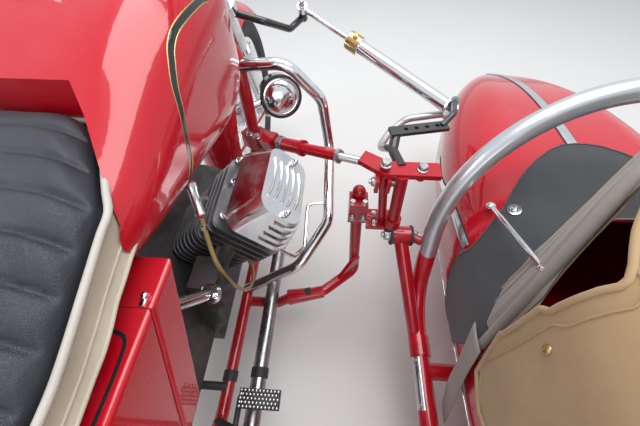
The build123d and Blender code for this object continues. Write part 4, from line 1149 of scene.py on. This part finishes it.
# %% Fasteners of the sidecar's mounts
UP = (0, 0, 1)
tower_bolts = [(480, 874, 443, UP, 12, False, 3), (481, 846, 443, UP, 12, False, 3), (480, 863, 624, UP, 18),
               (555, 864, 615, UP, 18), (424, 858, 504, UP, 12), (452, 858, 504, UP, 12),
               (425, 847.5, 463, (0, -1, 0), 13), (451, 847.5, 463, (0, -1, 0), 13),
               (171, 1040, 533, UP, 14), (150, 1052, 533, UP, 14), (522, 829, 422, (-1, 0, 0), 24, False, 5),
               (573, 829, 422, (1, 0, 0), 24, False, 5), (466, 852, 586, (-1, 0, 0), 17, False, 4),
               (494.5, 852, 586, (1, 0, 0), 17, False, 4)]
bolts("tower_nuts", tower_bolts, steel)
BUSH = [(12, -3), (24.5, -3), (25.5, -1), (25.5, 1.5), (24.5, 3), (12, 3)]
bushes = [turned(BUSH, at(x, 829, 422), (1, 0, 0), 32) for x in (524, 572)]
bushes.append(band(15.4, 17.4, 9, 1, at(320, 752, 202.5), (88, 15, 18), 24))
bushes.append(band(16.2, 18.6, 13, 1, at(133, 531, 168), (0, 1, 0), 24))
bushes.append(band(19.2, 21.8, 12, 1, at(214, 538, 200), (0, 1, 0), 24))
shown("clamp_rubbers", bushes, black_rubber)
strut_from, strut_way = at(160, 1066, 509), Vector((0.8133, -0.5113, 0.2781))
thread = [(8.3 if i % 2 else 9.2, 276 + i * 1.4) for i in range(45)]
shown("strut_fittings", [band(17.5, 20.5, 10, 2, strut_from + strut_way * 0.1, strut_way, 6, 0.2),
                         band(15, 17, 5, 1, strut_from + strut_way * 0.278, strut_way, 6),
                         turned(thread, strut_from, strut_way, 20)], steel)
print("fasteners:", len(cover_bolts) + len(tower_bolts))

# %% [markdown]
# The steering damper has a pin with a nut at each eye, and a brass clamp near the end of its tube. Each of the
# three rides on the part it is screwed to.

# %% Damper fittings
PIN = (0, -0.4695, 0.8829)
damper_eye, lever_eye = at(272, 1340, 727), at(659.3, 1099.7, 599.2)
damper_way = (damper_eye - lever_eye).normalized()
pin = Vector(PIN)
shown("bracket_pin_nut", bolt(damper_eye + pin * 0.0085, PIN, 15, True), chrome, "steering")
shown("lever_pin_nut", bolt(lever_eye + pin * 0.0115, PIN, 17, True), chrome)
collar = lever_eye + damper_way * 0.298
shown("damper_band", [band(22.1, 23.4, 16, 1, collar, damper_way, 36),
                      turned([(22.1, 17.5), (22.8, 18), (21, 19.5), (9, 20)], collar, damper_way, 36),
                      *bolt(collar + pin * 0.0232, PIN, 11, False, 2)], brass, "damper_tube")

# %% [markdown]
# Behind each cylinder a rubber elbow joins the intake to the engine, held by a worm clamp on a bright stub. The
# fuel tap under the tank is a turned body with a short lever.

# %% Intakes and fuel tap
ELBOW = [(181, 594, 580), (190, 608, 556), (190, 622, 530), (172, 626, 510), (150, 624, 500)]
TAP = [(7.1, 2), (8.6, 3), (8.6, 12), (7.6, 14), (7.6, 50), (8.8, 51), (8.8, 55), (7.1, 56)]
elbows, stubs = [], []
for side in BOTH:
    elbows.append(rod([at(side * x, y, z) for x, y, z in ELBOW], 15, 24, 6))
    stubs.append(rod([at(side * 160, 556, 634), at(side * 181, 594, 580)], 10, 24))
    stubs.append(band(15, 16.8, 6, 0.4, at(side * 183, 597, 574), (side * 8, 16, -33), 30))
    stubs += bolt(at(side * 196, 590, 584), (0.2 * side, 0.2, 1), 8, False, 3)
shown("fuel_tap", [turned(TAP, at(150, 730, 700), (18, -40, -38), 24),
                   rod([at(160, 708, 680), at(178, 712, 684)], 3, 12)], steel)
shown("intake_elbows", elbows, black_rubber)
shown("intake_stubs", stubs, chrome)

# %% [markdown]
# Around the footrests there are latches on the toolboxes, pedal beds full of bright studs, and a guard plate
# screwed to the sidecar's rail. The flat ones are slabs with chamfered edges.

# %% Latches, pedals and guard plate


def slab(centre, size, edge=0.8):
    """A thin plate with chamfered top edges, given its middle and its three sizes in millimetres."""
    rows = []
    for inset, z in ((0, -0.5), (0, 0.5 - edge / size[2]), (edge, 0.5)):
        a, b = size[0] / 2 - inset, size[1] / 2 - inset
        rows.append([at(centre[0] + x, centre[1] + y, centre[2] + z * size[2])
                     for x, y in ((-a, -b), (a, -b), (a, b), (-a, b))])
    return grid(rows, closed=True, capped=True)


latches, pedals, beds = [], [], []
for side in BOTH:
    latches.append(slab((side * 162, 535, 712), (7, 16, 2.0)))
    latches.append(turned([(4, 0), (4.4, 1), (4.4, 4), (3, 5.6), (0.5, 6)], at(side * 162, 539, 712), UP, 20))
    beds.append(slab((side * 240, 475, 302), (87, 37, 2.2)))
    for i in range(11):
        for k in range(5):
            stagger = 4 if k % 2 and i else 0
            place = at(side * 240 - 40 + i * 8 - stagger, 460 + k * 7.5, 303)
            pedals.append(turned([(3, -0.5), (2.8, 1.6), (1.6, 2.6), (0.4, 2.8)], place, UP, 10))
shown("box_latches", latches, chrome)
shown("pedal_beds", beds, black_rubber)
shown("pedal_studs", pedals, polished)
rail_skin = skin_of("sidecar_chassis")
plate_path = [at(596, y, 252) for y in (588, 560, 530, 500, 478)]
shown("rail_plate", [moulding(rail_skin, plate_path, 24, 1.8)], polished)
bolts("rail_plate_screws", [(594, y, 256, (-0.7, 0, 0.7), 6, True) for y in (580, 486)], steel)

# %% [markdown]
# The horn's face is a ribbed dome in a black ring. Both are turned about the way the horn points.

# %% Horn
HORN = (at(233.9, 1109.7, 607.4), (0.342, -0.883, 0.321), 48)
DOME = [(46, 0), (47, 2), (43, 4), (40, 3), (37, 7), (26, 13), (12, 16), (0.6, 17)]
RING = [(50, -8), (53.4, -6), (54, 0), (52, 3.4), (47.4, 3.4), (47, 0)]
shown("horn_dome", [turned(DOME, *HORN)], chrome)
shown("horn_ring", [turned(RING, *HORN)], black_rubber)

# %% [markdown]
# The grips are rubber sleeves with ribs round them. The dials have a rim, eleven marks and a needle, and no
# lettering. All of it turns with the handlebar, so it rides on the steering.

# %% Grips and dials
GRIP = [(11.2, -2), (17, -1), (17, 2), *((14.5 if i % 2 else 13, i * 4.4) for i in range(1, 31)), (14, 134),
        (8, 136)]
DIAL_TILT = math.radians(40)
DIAL_RIM = [(38, 1), (38.4, 5), (43.5, 5), (45.5, 3), (45.6, -1)]
dial_way = Vector((0, -math.sin(DIAL_TILT), math.cos(DIAL_TILT)))
grips, dial_rims, dial_marks, needles = [], [], [], []
for side in BOTH:
    start, end = at(side * 232, 957, 1035.5), at(side * 352, 900, 1010)
    grips.append(turned(GRIP, start, end - start, 28))
    dial = at(side * 48, 1144, 985)
    dial_rims.append(turned(DIAL_RIM, dial, dial_way, 48))
    pivot = dial + dial_way * 0.0024
    needles.append(rod([pivot, pivot + Vector((0.018, 0.016, 0.0134))], 0.9, 8))
    for i in range(11):
        a = math.radians(-130 + 26 * i)
        out = Vector((math.sin(a), math.cos(a) * math.cos(DIAL_TILT), math.cos(a) * math.sin(DIAL_TILT)))
        dial_marks.append(rod([dial + dial_way * 0.0016 + out * reach for reach in (0.029, 0.035)], 0.9, 6))
shown("grips", grips, black_rubber, "steering")
shown("dial_rims", dial_rims, chrome, "steering")
shown("dial_marks", dial_marks + needles, plate_white, "steering")

# %% [markdown]
# The headlamp's rim and its domed glass are turned about the middle of the lamp's front face.

# %% Headlamp
LAMP_RIM = [(74, -18), (79, -16), (80, -12), (76, -6), (66, -4), (64, -8)]
LAMP_GLASS = [(66, -9), (60, -4), (44, 0), (20, 2), (0.6, 2.4)]
low, high = (Vector(corner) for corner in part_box("headlamp"))
lamp_middle = Vector(((low.x + high.x) / 2, high.y, 0.848))
shown("lamp_rim", [turned(LAMP_RIM, lamp_middle, (0, 1, 0), 56)], chrome, "steering")
shown("lamp_glass", [turned(LAMP_GLASS, lamp_middle, (0, 1, 0), 56)], clear_pane, "steering")

# %% [markdown]
# The tyres carry a row of blocks on each shoulder. Each block is a small raised patch that follows the tyre's
# own round section, so it needs no cutting, and it rides on its wheel.

# %% Tyre blocks
BLOCKS = 66
for wheel in ("front", "rear", "sidecar"):
    low, high = (Vector(corner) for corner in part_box(f"{wheel}_tyre"))
    middle = (low + high) / 2
    outer, section = (high.z - low.z) / 2, (high.x - low.x) / 2
    parts = []
    for i in range(BLOCKS):
        for side in BOTH:
            turn = 2 * math.pi * (i + 0.25 * side) / BLOCKS
            rows = []
            for k in range(5):
                lean = math.radians(14 + 10 * k)
                lift = 0.0018 if k in (1, 2, 3) else 0.0008
                reach = outer - section + (section + lift) * math.cos(lean)
                row = []
                for spread in (-0.6, -0.42, 0.42, 0.6):
                    a = turn + spread * 2 * math.pi / BLOCKS * 0.62 + 0.006 * k
                    inset = 0.003 if abs(spread) > 0.5 else 0
                    row.append(middle + Vector((side * (section + lift - inset) * math.sin(lean),
                                                math.cos(a) * (reach - inset), math.sin(a) * (reach - inset))))
                rows.append(row)
            parts.append(grid(rows))
    shown(f"{wheel}_tyre_blocks", parts, tyre_rubber, f"{wheel}_wheel")

# %% [markdown]
# The light is soft and plain, as on an overcast day: a broad box overhead and two weaker ones, on the left and
# behind.

# %% Lights


def softbox(name, place, target, width, height, power):
    """A rectangular light that looks at a target; sizes in metres, power in watts."""
    light = bpy.data.lights.new(name, "AREA")
    light.shape, light.size, light.size_y, light.energy = "RECTANGLE", width, height, power
    lamp = placed(name, light)
    lamp.location = place
    lamp.rotation_euler = (Vector(target) - Vector(place)).to_track_quat("-Z", "Y").to_euler()


softbox("sky_box", (0.3, 0.9, 3.4), (0.1, 0.2, 0.3), 3.0, 2.2, 105)
softbox("left_box", (-3.2, -0.6, 2.0), (0, 0, 0.5), 2.0, 2.0, 30)
softbox("back_box", (0.6, -3.4, 2.2), (0, 0, 0.5), 2.4, 1.6, 30)

# %% [markdown]
# The sky fills the shadows with a faint blue. A light path tells the camera and the reflections apart from
# the rest, so they see a brighter sky than the one that gives the light.

# %% Sky
world = bpy.data.worlds.new("studio")
bpy.context.scene.world = world
world.use_nodes = True
world_tree = world.node_tree
paths = world_tree.nodes.new("ShaderNodeLightPath")
seen = world_tree.nodes.new("ShaderNodeMath")
seen.operation = "MAXIMUM"
world_tree.links.new(paths.outputs["Is Camera Ray"], seen.inputs[0])
world_tree.links.new(paths.outputs["Is Glossy Ray"], seen.inputs[1])
strength = world_tree.nodes.new("ShaderNodeMapRange")
world_tree.links.new(seen.outputs[0], strength.inputs["Value"])
strength.inputs["To Min"].default_value = 0.6
strength.inputs["To Max"].default_value = 0.85
background = world_tree.nodes["Background"]
background.inputs["Color"].default_value = (0.93, 0.95, 1.0, 1)
world_tree.links.new(strength.outputs[0], background.inputs["Strength"])

# %% [markdown]
# The floor only catches the shadows, so it is not attached to any of the motorcycle's bodies.

# %% Floor
floor_mesh = bpy.data.meshes.new("floor")
floor_mesh.from_pydata([(-14, -14, 0), (14, -14, 0), (14, 14, 0), (-14, 14, 0)], [], [(0, 1, 2, 3)])
floor = placed("floor", floor_mesh)
ground = Finish("floor_pale", (0.62, 0.62, 0.61), 0.9)
ground.set("Base Color", ground.mix(ground.noise(3, 4), (0.68, 0.68, 0.67), (0.72, 0.72, 0.71)))
floor.data.materials.append(ground.material)
print("floor and", len(bpy.data.lights), "lights")
